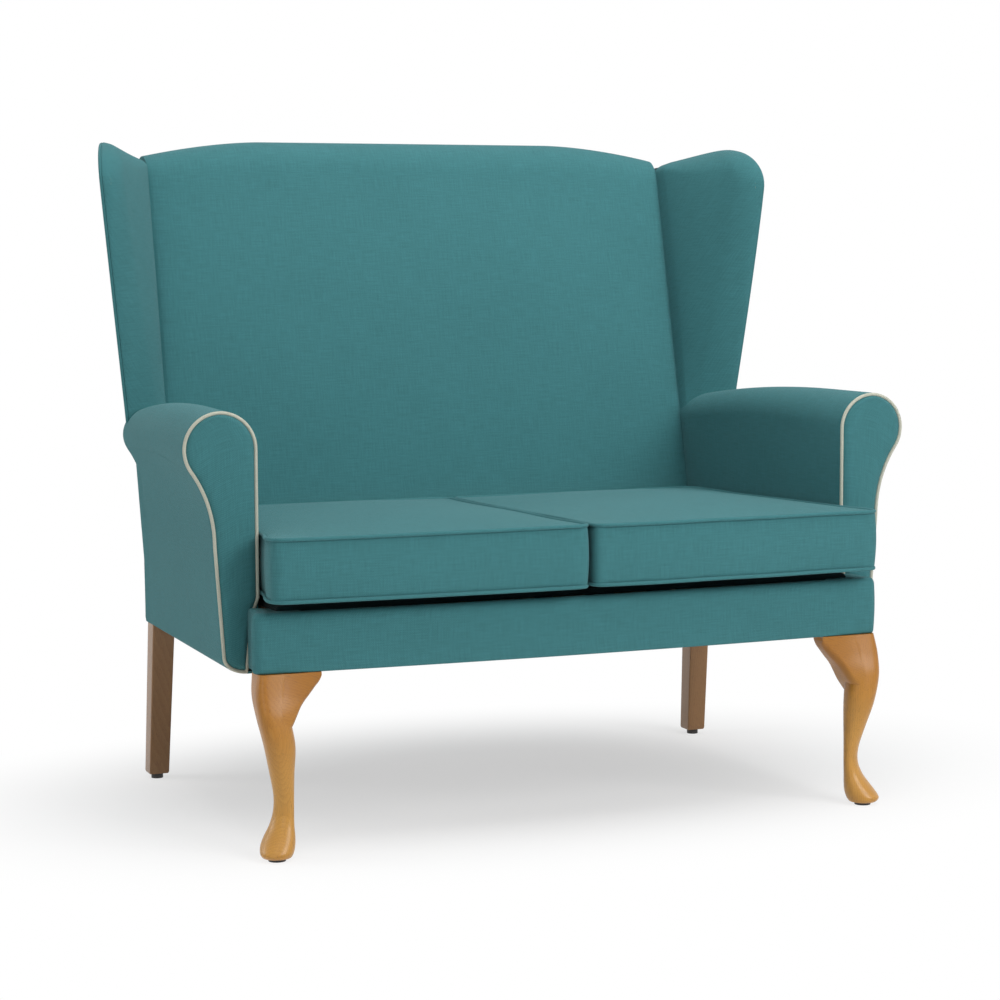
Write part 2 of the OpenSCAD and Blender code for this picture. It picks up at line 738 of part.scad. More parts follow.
// Wings: a flat flared board against the back post, padded inside and covered outside
wing_sink = 18;
wing_fall = 40;
wing_corner_d = 96;
wing_corner_h = 70;
wing_h = overall_h - wing_drop;
wing_foot_z = arm_h - wing_sink;
wing_tilt = atan(tan(rake) * sin(wing_flare));
wing_back_z = wing_h - wing_fall;
wing_peak_y = wing_front + wing_corner_d;
wing_turn_z = wing_h - wing_corner_h;
function wing_drop_part(z) = clamp01((wing_turn_z - z) / (wing_turn_z - wing_foot_z));
function wing_edge_y(z) = wing_front + wing_lean * pow(wing_drop_part(z), 1.3);
function wing_top(y) = y > wing_peak_y
    ? wing_h - wing_fall * pow((y - wing_peak_y) / (post_back(wing_back_z) - wing_peak_y), 1.5)
    : wing_turn_z + wing_corner_h * sqrt(max(0, 1 - pow((wing_peak_y - y) / wing_corner_d, 2)));
// The rounded corner at the front of a wing's top, drawn in by d, as depth and height
wing_steps = 14;
function wing_corner(d) = [
    for (i = [0:wing_steps])
        let (q = 90 * i / wing_steps)
            [wing_peak_y - (wing_corner_d - d) * cos(q), wing_turn_z + (wing_corner_h - d) * sin(q)]
];
// The point of the wing's outer plane at depth y and height z
function wing_x(y, z) = post_out + (post_back(z) - y) * tan(wing_flare);
// The same point in the board's own flat coordinates, from the foot of its back edge
function wing_flat(y, z) = [
    (post_back(z) - y) / cos(wing_flare) - (z - wing_foot_z) * tan(rake) * cos(wing_flare),
    (z - wing_foot_z) / cos(wing_tilt)
];
module wing_plane() {
    translate([post_out, post_back(wing_foot_z), wing_foot_z]) rotate([0, 0, wing_flare - 90])
        rotate([-wing_tilt, 0, 0]) children();
}
// A flat plate in the wing's plane: its outer face stands off by off
module wing_slab(outline, t, off) {
    wing_plane() translate([0, off, 0]) rotate([90, 0, 0]) linear_extrude(t) polygon(outline);
}
function wing_outline(d, foot) = concat(
    [wing_flat(post_back(foot), foot)],
    [for (i = [0:3]) let (z = lerp(foot, wing_turn_z, i / 4)) wing_flat(wing_edge_y(z) + d, z)],
    [for (p = wing_corner(d)) wing_flat(p[0], p[1])],
    [
        for (i = [1:wing_steps / 2])
            let (y = lerp(wing_peak_y, post_back(wing_back_z), 2 * i / wing_steps))
                wing_flat(y, wing_top(y) - d)
    ]
);
wing_board_inset = 6;
function wing_board_outline(d) = wing_outline(wing_board_inset + d, wing_foot_z);
module wing_board() {
    difference() {
        wing_slab(wing_board_outline(0), wing_board_t, 0);
        behind_backs(0);
    }
}
module wing_board_right() { color(board_tan) settle() wing_board(); }
module wing_board_left() { color(board_tan) left() wing_board(); }
cover_sink = 84;
outside_wing_foot = arm_h - cover_sink;
module outside_wing() {
    difference() {
        wing_slab(wing_outline(2 * (pipe_r + 2 * loose), outside_wing_foot), cover_t, cover_t + snug);
        arm_roll();
        skin([for (y = outside_stations) outside_arm_ring(y)], thin = true);
        behind_backs(0);
    }
}
module outside_wing_right() { color(teal) settle() outside_wing(); }
module outside_wing_left() { color(teal) left() outside_wing(); }

// The padding inside a wing: upright loops from the post to the front edge
pad_sink = 62;
wing_pad_low = arm_h - pad_sink;
wing_level_shares = [0, 0.25, 0.5, 0.75, 0.92, 1];
wing_loops = 8;
wing_belly = 6;
wing_round = 7;
wing_in = back_edge + loose;
wing_normal = [cos(wing_flare) * cos(wing_tilt), sin(wing_flare) * cos(wing_tilt), -sin(wing_tilt)];
function pad_depth(z) = lerp(back_pad_low, back_pad_high, clamp01((z - seat_h) / (post_top - seat_h)));
function crease_y(z) = post_front(z) - pad_depth(z);
function wing_nose(z) = [wing_x(wing_edge_y(z), z), wing_edge_y(z)];
function wing_lip(z) = wing_nose(z) - (wing_board_t + wing_edge_pad) * [cos(wing_flare), sin(wing_flare)]
    + pipe_r * [-sin(wing_flare), cos(wing_flare)];
function wing_inner(s, z) = s < 0 ? [wing_in, post_front(z) - snug]
    : s > 1 ? lerp(wing_lip(z), wing_nose(z), 0.5) - [0, pipe_r]
    : lerp([wing_in, crease_y(z)], wing_lip(z), s) - wing_belly * sin(180 * s) * [cos(40), sin(40)];
function wing_outer_y(s, z) = s < 0 ? post_front(z) - snug
    : s > 1 ? wing_edge_y(z)
    : lerp(crease_y(z), wing_edge_y(z), s * 0.96);
function wing_crown(s) = s > 1 ? wing_turn_z : wing_top(wing_outer_y(s, wing_back_z));
function wing_inner_at(s, z) = let (p = wing_inner(s, z)) [p[0], p[1], z];
function wing_outer_at(s, z) = let (y = wing_outer_y(s, z)) [wing_x(y, z), y, z];
function wing_loop(s) =
    let (top = wing_crown(s), shoulder = lerp(wing_inner_at(s, top), wing_outer_at(s, top), 0.4))
        concat(
            [for (v = wing_level_shares) wing_inner_at(s, lerp(wing_pad_low, top - wing_round, v))],
            [shoulder],
            [for (v = [1, 0.5, 0]) wing_outer_at(s, lerp(wing_pad_low, top - snug, v))]
        );
module inside_wing() {
    cap_low = post_top + snug;
    pad = [for (i = [0:wing_loops]) wing_loop(sin(90 * i / wing_loops))];
    difference() {
        skin(concat([wing_loop(-1)], pad, [wing_loop(2)]));
        arm_roll();
        arm_timber(snug);
        wing_slab(wing_board_outline(-snug), wing_board_t + snug + cut, cut);
        strap_space();
    }
    difference() {
        intersection() {
            wing_slab(wing_outline(0, wing_foot_z), post_w * 2, 0);
            block_at([wing_in, post_front(cap_low), cap_low], [overall_w, rear_reach * 2, overall_h]);
        }
        wing_slab(wing_board_outline(-snug), wing_board_t + snug + cut, cut);
    }
}
module inside_wing_right() { color(teal) settle() inside_wing(); }
module inside_wing_left() { color(teal) left() inside_wing(); }
module wing_piping() {
    edge = concat(
        [for (i = [0:8]) let (z = lerp(wing_foot_z, wing_turn_z, i / 9)) [wing_edge_y(z) + pipe_r, z]],
        wing_corner(pipe_r),
        [
            for (i = [1:6])
                let (y = lerp(wing_peak_y, post_back(wing_back_z) - pipe_r, i / 6)) [y, wing_top(y) - pipe_r]
        ]
    );
    path = [for (p = edge) [wing_x(p[0], p[1]), p[0], p[1]] + wing_normal * (pipe_r + snug)];
    skin(tube(path, pipe_r, wing_normal));
}
module wing_piping_right() { color(teal) settle() wing_piping(); }
module wing_piping_left() { color(teal) left() wing_piping(); }

// Upholstered border: a padded strip round the front rail and the ends of the leg blocks
lip = 12;
corner_steps = 4;
function border_path() =
    let (
        right = concat(
            [for (i = [0:bow_steps]) let (x = bow_half * i / bow_steps) [x, bow_y(x), 0]],
            [
                for (i = [1:corner_steps])
                    let (q = 90 * i / corner_steps)
                        [bow_half + border_r * sin(q), border_r * (1 - cos(q)), q]
            ],
            [[half_w, facing_front - snug, 90]]
        )
    )
        concat([for (i = [len(right) - 1:-1:1]) [-right[i][0], right[i][1], -right[i][2]]], right);
border_back = border_r - snug;
border_roll = 9;
lip_t = 3;
lip_share = 0.05;
function border_section(part) = [
    [0, leg_h], [0, lerp(leg_h, border_top, 0.5)], [0, border_top - border_roll],
    [border_roll * (1 - cos(45)), border_top - border_roll * (1 - sin(45))], [border_roll, border_top],
    [border_back + part * lip / 2, border_top], [border_back + part * lip, border_top - lip_t],
    [border_back + part * lip, rail_top + snug], [border_back, rail_top + snug], [border_back, leg_h]
];
module front_border() {
    color(teal) settle() skin([
        for (p = border_path())
            [
                for (s = border_section(abs(p[0]) > block_in - 2 * border_r ? lip_share : 1))
                    [p[0] - s[0] * sin(p[2]), p[1] + s[0] * cos(p[2]), s[1]]
            ]
    ]);
}

// Suspension and platform
strap_w = 50;
straps = 9;
module seat_webbing() {
    span = 2 * (side_in - strap_w);
    start = block_front + rail_t / 2;
    color(jute) settle() for (i = [0:straps - 1])
        translate([span * (i / (straps - 1) - 0.5) - strap_w / 2, start, rail_top + snug])
            cube([strap_w, rear_rail_y - start, strap_t]);
}
cross_straps = 4;
module cross_webbing() {
    span = frame_d - block_back - 2 * strap_w;
    first = block_back + strap_w / 2;
    color(jute) settle() for (i = [0:cross_straps - 1])
        translate([-side_mid, first + span * i / (cross_straps - 1), rail_top + strap_t + 2 * snug])
            cube([2 * side_mid, strap_w, strap_t]);
}
module seat_platform() {
    color(dark) settle() block_at(
        [-(inside_rear - loose), border_back + lip + loose, web_top + snug],
        [inside_rear - loose, back_face(0, deck_top) - loose, deck_top]
    );
}
cloth_t = 1;
cloth_gap = 2;
cloth_corner = 12;
module bottom_corners() {
    block_at([block_in - cloth_corner, 0, 0], [overall_w, block_back + cloth_gap, border_top]);
    block_at([post_in - cloth_gap, frame_d - cloth_gap, 0], [overall_w, overall_w, border_top]);
}
module bottom_cloth() {
    color(dark) settle() difference() {
        block_at([-(side_in - loose), block_front + rail_t / 2, rail_low - cloth_t - snug],
            [side_in - loose, rear_rail_y, rail_low - snug]);
        bottom_corners();
        mirror([1, 0, 0]) bottom_corners();
    }
}
back_straps = 5;
back_cross = 4;
module back_webbing() {
    span = 2 * (post_in - strap_w);
    low = up_rake(low_rail_z + low_rail_h / 2);
    high = up_rake(post_top - top_rail_h / 2);
    color(jute) settle() {
        for (i = [0:back_straps - 1]) {
            x = -span / 2 + span * i / (back_straps - 1) - strap_w / 2;
            strap = [[x, low], [x + strap_w, low], [x + strap_w, high], [x, high]];
            raked_plate(strap, strap_t, -strap_t - snug);
        }
        for (i = [1:back_cross]) {
            v = lerp(low, high, i / (back_cross + 1));
            raked_plate([
                [-strap_end, v - strap_w / 2], [strap_end, v - strap_w / 2],
                [strap_end, v + strap_w / 2], [-strap_end, v + strap_w / 2]
            ], strap_t, -2 * strap_t - 2 * snug);
        }
    }
}

// Back upholstery: a crowned pad that rolls over the crest rail, and a flat outside back
web_gap = web_pack / cos(rake);
back_stations = 18;
front_steps = 7;
roll_steps = 5;
back_lift = 2;
back_low = deck_top + back_lift;
function crown_at(x, z) = back_crown * pow(max(0, 1 - pow(x / back_edge, 2)), 0.8)
    * (0.55 + 0.45 * sin(180 * clamp01((z - back_low) / (overall_h - back_low))));
function back_face(x, z) = crease_y(z) - crown_at(x, z);
function back_ring(x) =
    let (
        top = crest_z(x),
        turn_z = top - crest_roll,
        tuck_z = top - outside_top + 2 * loose,
        levels = [for (i = [0:front_steps]) lerp(back_low, turn_z, i / front_steps)],
        face = [for (z = levels) [back_face(x, z), z]],
        start = face[front_steps],
        bulge = [post_back(top - roll_low) + roll_out, top - roll_low],
        ridge = lerp(start[0], bulge[0], 0.55),
        over = [
            for (i = [1:roll_steps])
                let (q = 90 * i / roll_steps) [lerp(start[0], ridge, 1 - cos(q)), lerp(start[1], top, sin(q))]
        ],
        down = [
            for (i = [1:roll_steps])
                let (q = 90 * i / roll_steps) [lerp(ridge, bulge[0], sin(q)), lerp(bulge[1], top, cos(q))]
        ],
        tuck = [
            [post_front(tuck_z) - web_gap, tuck_z], [post_front(back_low) - web_gap, back_low]
        ],
        hem = [[post_back(tuck_z) + cover_t + snug, tuck_z]]
    )
        [for (p = concat(tuck, face, over, down, hem)) [x, p[0], p[1]]];
module inside_back() {
    arch = [
        for (i = [-arch_steps:arch_steps])
            let (x = post_out * i / arch_steps) [x, up_rake(crest_z(min(abs(x), post_in)) - crest_pad + snug)]
    ];
    low = up_rake(post_top - 2 * top_rail_h);
    color(teal) settle() difference() {
        skin([for (i = [0:back_stations]) back_ring(-back_edge * cos(180 * i / back_stations))], hub = 0);
        raked_plate(
            concat(arch, [[post_out, low], [-post_out, low]]),
            top_rail_t + web_pack - joint_gap + snug, joint_gap - web_pack
        );
    }
}
outside_top = crest_roll * 1.25;
horn_top = wing_back_z - cover_t;
module outside_back() {
    side = [
        [frame_d + post_d + snug, leg_h], [frame_d + post_d + snug + cover_t, leg_h],
        [post_back(bend_z) + cover_t + snug, bend_z], [post_back(overall_h) + cover_t + snug, overall_h],
        [post_back(overall_h) + snug, overall_h], [post_back(bend_z) + snug, bend_z]
    ];
    horn_x = back_edge + loose;
    half = post_out + cover_t;
    edge = concat(
        [[-half, horn_top], [-horn_x, horn_top]],
        [
            for (i = [-arch_steps:arch_steps])
                let (x = horn_x * i / arch_steps) [x, crest_z(min(abs(x), back_edge)) - outside_top]
        ],
        [[horn_x, horn_top], [half, horn_top], [half, 0], [-half, 0]]
    );
    color(teal) settle() intersection() {
        translate([-overall_w / 2, 0, 0]) rotate([90, 0, 90]) linear_extrude(overall_w) polygon(side);
        translate([0, 2 * rear_reach, 0]) rotate([90, 0, 0]) linear_extrude(2 * rear_reach) polygon(edge);
    }
}

// Bolts that hold the arm stumps to the side rails
head_r = 8;
head_t = 3;
nut_r = 7;
nut_t = 5;
module stump_bolts() {
    for (z = bolt_zs) translate([side_in - nut_t - snug, bolt_y, z]) rotate([0, 90, 0]) {
        cylinder(r = nut_r, h = nut_t, $fn = 6);
        cylinder(r = bolt_r, h = stump_out - side_in + nut_t + 2 * snug, $fn = 32);
        translate([0, 0, stump_out - side_in + nut_t + 2 * snug]) cylinder(r = head_r, h = head_t, $fn = 32);
    }
}
module frame_bolts() {
    color(steel) settle() {
        stump_bolts();
        mirror([1, 0, 0]) stump_bolts();
    }
}

// Seat cushions: boxed, piped top and bottom, crowned, with an ear in front of the arm facing
split_gap = 3;
side_gap = 2.5;
cushion_in = split_gap / 2 + pipe_r;
ear_out = inside_front + cushion_ear - pipe_r;
cushion_front = -cushion_over;
ear_gap = 3;
ear_rear = facing_front - ear_gap - pipe_r;
back_gap = 3;
corner_r = 22;
ear_r = 7;
function side_at(y) = arm_in(y) - side_gap - pipe_r;
function cushion_rear(x, z) = back_face(x, z) - back_gap - pipe_r;
function bowed_front(x) = cushion_front - cushion_bow * (1 - pow(x / ear_out, 2));
function corner(cx, cy, r, from, to, steps) = [
    for (i = [0:steps]) let (q = lerp(from, to, i / steps)) [cx + r * cos(q), cy + r * sin(q)]
];
function span(a, b, steps, draw) = [
    for (i = [1:steps]) let (t = i / (steps + 1)) lerp(a, b, t) + draw * sin(180 * t)
];
rear_in = cushion_rear(cushion_in, cushion_bottom);
rear_side = cushion_rear(side_at(frame_d), cushion_bottom);
side_rear = side_at(frame_d);
function cushion_plan() =
    let (r = corner_r, small = corner_r * 0.6)
        concat(
            [for (i = [0:8]) let (x = lerp(cushion_in + small, ear_out - r, i / 8)) [x, bowed_front(x)]],
            corner(ear_out - r, bowed_front(ear_out) + r, r, -75, 0, 3),
            corner(ear_out - ear_r, ear_rear - ear_r, ear_r, 0, 90, 2),
            corner(side_at(0) + ear_r, ear_rear + ear_r, ear_r, -90, -180, 2),
            span([side_at(0), ear_rear + ear_r], [side_rear, rear_side - r], 4, [-cushion_draw, 0]),
            corner(side_rear - r, rear_side - r, r, 0, 90, 3),
            [
                for (i = [1:5])
                    let (x = lerp(side_rear - r, cushion_in + r, i / 6)) [x, cushion_rear(x, cushion_bottom)]
            ],
            corner(cushion_in + r, rear_in - r, r, 90, 180, 3),
            span([cushion_in, rear_in - r], [cushion_in, cushion_front], 4, [cushion_draw / 2, 0]),
            corner(cushion_in + small, bowed_front(cushion_in) + small, small, 180, 250, 2)
        );
cushion_mid = [(cushion_in + side_rear) / 2, (cushion_front + rear_in) / 2];
function depth_part(y) = clamp01((y - cushion_front) / (rear_in - cushion_front));
function tilt(y) = -cushion_fall * depth_part(y);
function back_lean(x, y, z) = (cushion_rear(x, z) - cushion_rear(x, cushion_bottom)) * pow(depth_part(y), 4);
// A ring of the cushion: its height, how far it stands outside the plan, the plan's scale, and a lift
function cushion_ring(z, out, s, lift) = [
    for (p = cushion_plan())
        let (
            d = unit(p - cushion_mid),
            q = lerp(cushion_mid, p, s) + d * out,
            h = z + tilt(p[1]) * clamp01((z - cushion_bottom) / cushion_box) + lift
        )
            [q[0], q[1] + back_lean(q[0], q[1], h), h]
];
belly = 3;
seam_in = 1;
seam_share = 0.985;
deck_drop = cushion_bottom - deck_top - loose;
drop_shares = [[0.3, 1], [0.6, 0.88], [0.85, 0.44]];
module seat_cushion_form() {
    skin(concat(
        [for (s = drop_shares) cushion_ring(cushion_bottom, 0, s[0], -deck_drop * s[1])],
        [
            cushion_ring(cushion_bottom, -seam_in, seam_share, -seam_in),
            cushion_ring(cushion_bottom, pipe_r * 0.8, 1, -pipe_r * 0.7),
            cushion_ring(cushion_bottom, pipe_r, 1, pipe_r * 0.5),
            cushion_ring(cushion_bottom, -seam_in * 0.6, 1, pipe_r * 1.6)
        ],
        [
            for (v = [0.3, 0.5, 0.7])
                cushion_ring(lerp(cushion_bottom, seat_h, v), belly * sin(180 * v) - seam_in, 1, 0)
        ],
        [
            cushion_ring(seat_h, -seam_in * 0.6, 1, -pipe_r * 1.6),
            cushion_ring(seat_h, pipe_r, 1, -pipe_r * 0.5),
            cushion_ring(seat_h, pipe_r * 0.6, 1, pipe_r * 0.7),
            cushion_ring(seat_h, -seam_in, seam_share, seam_in / 2)
        ],
        [for (s = [0.9, 0.7, 0.45, 0.2]) cushion_ring(seat_h, 0, s, cushion_crown * (1 - pow(s, 2.6)))]
    ));
}
core_in = 14;
module cushion_core() {
    low = cushion_bottom + core_in / 2;
    high = seat_h - cushion_fall - core_in / 3;
    translate([0, 0, low]) linear_extrude(high - low) polygon([
        [cushion_in + core_in, cushion_front + core_in], [ear_out - 2 * core_in, cushion_front + core_in],
        [side_at(0) - core_in, ear_rear], [side_rear - core_in, rear_side - 2 * core_in],
        [cushion_in + core_in, rear_in - core_in]
    ]);
}
zip_h = 14;
zip_t = 1.2;
zip_steps = 8;
module zip_strip(grow) {
    z = lerp(cushion_bottom, seat_h - cushion_fall, 0.5);
    skin([
        for (i = [0:zip_steps])
            let (
                x = lerp(cushion_in + 2 * corner_r, side_rear - 2 * corner_r, i / zip_steps),
                y = cushion_rear(x, z) + zip_t
            )
                [
                    [x, y - zip_t - grow, z - zip_h / 2 - grow], [x, y, z - zip_h / 2 - grow],
                    [x, y, z + zip_h / 2 + grow], [x, y - zip_t - grow, z + zip_h / 2 + grow]
                ]
    ]);
}
module seat_cushion() {
    difference() {
        seat_cushion_form();
        cushion_core();
        translate([0, 2 * zip_t, 0]) zip_strip(3 * zip_t);
    }
}
module seat_cushion_right() { color(teal) settle() seat_cushion(); }
module seat_cushion_left() { color(teal) left() seat_cushion(); }
module cushion_foam_right() { color(foam) settle() cushion_core(); }
module cushion_foam_left() { color(foam) left() cushion_core(); }
module cushion_zip() {
    zip_strip(0);
}
module cushion_zip_right() { color(dark) settle() cushion_zip(); }
module cushion_zip_left() { color(dark) left() cushion_zip(); }

front_leg_left();
front_leg_right();
knee_block_left();
knee_block_right();
rear_leg_left();
rear_leg_right();
front_glides();
rear_glides();
front_rail();
rear_rail();
side_rail_left();
side_rail_right();
centre_rail();
corner_blocks();
top_rail();
lower_back_rail();
back_upright();
arm_stump_left();
arm_stump_right();
arm_rail_left();
arm_rail_right();
arm_panel_left();
arm_panel_right();
facing_board_left();
facing_board_right();
wing_board_left();
wing_board_right();
dowels();
frame_bolts();
seat_webbing();
cross_webbing();
seat_platform();
bottom_cloth();
back_webbing();
front_border();
inside_back();
outside_back();
inside_wing_left();
inside_wing_right();
outside_wing_left();
outside_wing_right();
wing_piping_left();
wing_piping_right();
inside_arm_left();
inside_arm_right();
outside_arm_left();
outside_arm_right();
arm_facing_left();
arm_facing_right();
facing_piping_left();
facing_piping_right();
seat_cushion_left();
seat_cushion_right();
cushion_foam_left();
cushion_foam_right();
cushion_zip_left();
cushion_zip_right();
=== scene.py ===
"""High back settee: covers, cushions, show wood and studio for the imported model.

Lengths are millimetres. x is counted from the middle, y back from the front of the border at its ends, and z
up from the floor. in_frame() turns them into the frame's metres.
"""
import math

import bmesh
import bpy
import numpy as np
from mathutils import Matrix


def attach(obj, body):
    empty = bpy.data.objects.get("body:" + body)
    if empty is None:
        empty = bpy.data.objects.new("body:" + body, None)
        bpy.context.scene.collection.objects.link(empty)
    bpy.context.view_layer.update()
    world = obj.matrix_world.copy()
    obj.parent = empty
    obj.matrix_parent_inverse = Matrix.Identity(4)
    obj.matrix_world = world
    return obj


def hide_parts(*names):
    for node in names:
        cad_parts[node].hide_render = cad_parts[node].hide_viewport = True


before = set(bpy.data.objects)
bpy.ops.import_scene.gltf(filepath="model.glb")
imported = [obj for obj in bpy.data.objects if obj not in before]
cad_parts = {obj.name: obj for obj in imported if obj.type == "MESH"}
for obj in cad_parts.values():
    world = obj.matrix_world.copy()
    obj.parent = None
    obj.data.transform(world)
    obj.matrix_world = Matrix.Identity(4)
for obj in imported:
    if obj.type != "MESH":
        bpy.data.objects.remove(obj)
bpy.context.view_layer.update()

# Sizes of the part
OVERALL_W, OVERALL_H, SEAT_H, HALF_W = 1210.0, 1080.0, 480.0, 520.0
LEG_H, BORDER_H, BORDER_PAD, PAD_GAP, BOW = 276.0, 90.0, 12.0, 2.0, 16.0
BLOCK, RAIL_DROP, SIDE_SETBACK, ARM_UNDER, POST_PROUD = 48.0, 8.0, 8.0, 9.0, 1.0
FRAME_D, POST_W, POST_D, RAKE = 592.0, 38.0, 38.0, math.radians(15.5)
POST_FOOT, POST_KICK, POST_SPLAY = 34.0, 27.0, 5.0
IN_FRONT, IN_REAR = 491.0, 479.0
CREST_ROLL, ROLL_BACK, SHOULDER_DROP = 50.0, 10.0, 26.0
BACK_CROWN, BACK_PAD_LOW, BACK_PAD_HIGH = 28.0, 14.0, 34.0
FACING, FACING_PAD, COVER = 66.0, 8.0, 3.0
ARM_H, ARM_FALL, SCROLL_REAR, TACK_DROP = 659.0, 27.0, 1128.0, 84.0
NECK_X, NECK_H, FOOT_X, FOOT_H = 561.0, 460.0, 549.0, 292.0
WING_H, WING_FALL, WING_FRONT, WING_LEAN, WING_CORNER = 1071.0, 40.0, 554.0, 26.0, 70.0
FLARE = math.radians(17.6)
PIPE, CORD = 3.2, 2.7
BOX, CUSHION_OVER, CUSHION_BOW, CUSHION_FALL, DECK_RISE = 97.0, 35.0, 10.0, 14.0, 7.0

# Places that follow from them
BORDER_TOP = LEG_H + BORDER_H
BORDER_R = BORDER_PAD + PAD_GAP
RAIL_TOP = BORDER_TOP - RAIL_DROP
BLOCK_OUT = HALF_W - BORDER_R
SIDE_OUT = BLOCK_OUT - SIDE_SETBACK
TIP_X = SIDE_OUT + 12
POST_OUT = HALF_W + POST_PROUD
POST_IN = POST_OUT - POST_W
POST_TOP = OVERALL_H - CREST_ROLL
BACK_EDGE = IN_REAR - 1
ROLL_LOW = CREST_ROLL * 0.85
OUTSIDE_TOP = CREST_ROLL * 1.25
ARM_BASE = LEG_H - ARM_UNDER
ARM_FRONT = FACING + FACING_PAD
ARM_REAR = WING_FRONT + WING_LEAN + 20
ARM_END = ARM_REAR + 45
TACK_Z = ARM_H - TACK_DROP
WING_BACK_Z = WING_H - WING_FALL
WING_PEAK = WING_FRONT + 96
WING_FOOT = ARM_H - 18
WING_LOW = ARM_H - 62
DECK_TOP = BORDER_TOP + DECK_RISE
CUSHION_LOW = SEAT_H - BOX


def post_front(z):
    """Front of a back post: straight up to the border's top, then leaning back by the rake."""
    return FRAME_D + np.maximum(0, z - BORDER_TOP) * math.tan(RAKE)


def post_back(z):
    """Back of a back post: its front moved back by the post's depth over the cosine of the rake."""
    return post_front(z) + POST_D / math.cos(RAKE)


MID_Y = (float(post_back(OVERALL_H - ROLL_LOW)) + ROLL_BACK - (CUSHION_OVER + CUSHION_BOW + PIPE)) / 2


def in_frame(points):
    """The part's millimetres to the frame's metres: y less the middle of the depth, all over a thousand."""
    return (np.asarray(points, dtype=float) - [0, MID_Y, 0]) / 1000


def lerp(a, b, t):
    """a moved towards b by the share t."""
    return a + (b - a) * t


def eased(count):
    """Shares from 0 to 1, closer together at both ends: half of one less a cosine."""
    return (1 - np.cos(np.linspace(0, math.pi, count))) / 2


def hump(t):
    """Half a sine wave: 0 where t is 0 or 1, and 1 half-way."""
    return np.sin(math.pi * t)


def rounded(u):
    """A quarter circle: the root of one less the square of one less u, for u from 0 to 1, then level."""
    u = np.clip(u, 0, 1)
    return np.sqrt(np.maximum(0, 1 - (1 - u) ** 2))


def table(values, t):
    """A cubic through evenly spaced values, read at the share t of their length."""
    v = np.asarray(values, dtype=float)
    s = np.clip(t, 0, 1) * (len(v) - 1)
    i = np.minimum(s.astype(int), len(v) - 2)
    f = s - i
    a, b, c, d = v[np.maximum(i - 1, 0)], v[i], v[i + 1], v[np.minimum(i + 2, len(v) - 1)]
    return b + 0.5 * f * (c - a + f * (2 * a - 5 * b + 4 * c - d + f * (3 * (b - c) + d - a)))


def stack(*parts):
    """Arrays of one coordinate each, spread to one shape and put side by side as points."""
    return np.stack(np.broadcast_arrays(*parts), axis=-1).astype(float)


def bezier(a, b, c, d, t):
    """Cubic Bezier curve from a to d with the handles b and c."""
    t = t[..., None]
    return a * (1 - t) ** 3 + 3 * b * t * (1 - t) ** 2 + 3 * c * t * t * (1 - t) + d * t ** 3


def ripple(points, scale, seed):
    """Slow uneven waves: three sines along turned axes, with wavelengths near scale, from -1 to 1."""
    rng = np.random.default_rng(seed)
    total = np.zeros(points.shape[:-1])
    for weight in (0.5, 0.3, 0.2):
        axis = rng.normal(size=3)
        axis /= np.linalg.norm(axis)
        phase = points @ axis * (2 * math.pi / scale) / (weight + 0.5) + rng.uniform(0, 6.28)
        total += weight * np.sin(phase)
    return total


# Meshes
def add_object(name, data):
    """A new object of that data, in the scene."""
    obj = bpy.data.objects.new(name, data)
    bpy.context.scene.collection.objects.link(obj)
    return obj


def closed_mesh(name, points, quads, loops_uv, caps=()):
    """A mesh from points in millimetres, quads, and many-sided caps, turned to face outwards."""
    faces = [tuple(q) for q in quads.tolist()] + [tuple(c) for c in caps]
    mesh = bpy.data.meshes.new(name)
    mesh.from_pydata(in_frame(points), [], faces)
    uv = mesh.uv_layers.new(name="cloth")
    uv.data.foreach_set("uv", np.asarray(loops_uv, dtype=np.float32).ravel())
    work = bmesh.new()
    work.from_mesh(mesh)
    bmesh.ops.remove_doubles(work, verts=work.verts, dist=2e-6)
    bmesh.ops.dissolve_degenerate(work, edges=work.edges, dist=1e-7)
    bmesh.ops.recalc_face_normals(work, faces=work.faces)
    if work.calc_volume(signed=True) < 0:
        bmesh.ops.reverse_faces(work, faces=work.faces)
    work.to_mesh(mesh)
    work.free()
    mesh.shade_smooth()
    mesh.set_sharp_from_angle(angle=math.radians(48))
    mesh.update()
    return add_object(name, mesh)


def grid_quads(rows, cols, wrap):
    """Index quads of a grid, row by row; wrap joins the last column to the first."""
    i = np.arange(rows - 1)[:, None] * cols
    j = np.arange(cols if wrap else cols - 1)[None, :]
    k = (j + 1) % cols
    return np.stack([i + j, i + k, i + cols + k, i + cols + j], axis=-1).reshape(-1, 4)


def loft(name, rings, caps=True):
    """A skin through closed rings: u is the length round each ring and v the length along them, in metres."""
    rings = np.asarray(rings, dtype=float)
    m, n = rings.shape[:2]
    around = np.linalg.norm(np.roll(rings, -1, axis=1) - rings, axis=-1)
    u = np.concatenate([np.zeros((m, 1)), np.cumsum(around, axis=1)], axis=1) / 1000
    along = np.linalg.norm(np.diff(rings, axis=0), axis=-1)
    v = np.concatenate([np.zeros((1, n)), np.cumsum(along, axis=0)], axis=0) / 1000
    v = np.concatenate([v, v[:, :1]], axis=1)
    corner = np.stack([u, v], axis=-1)
    uv = np.stack([corner[:-1, :-1], corner[:-1, 1:], corner[1:, 1:], corner[1:, :-1]], axis=2).reshape(-1, 2)
    ends, cap_uv = [], []
    if caps:
        for order in (range(n - 1, -1, -1), range((m - 1) * n, m * n)):
            order = list(order)
            flat = rings.reshape(-1, 3)[order]
            axes = np.sort(np.argsort(np.ptp(flat, axis=0))[1:])
            ends.append(order)
            cap_uv.append(flat[:, axes] / 1000)
    uv = np.concatenate([uv] + cap_uv)
    return closed_mesh(name, rings.reshape(-1, 3), grid_quads(m, n, True), uv, ends)


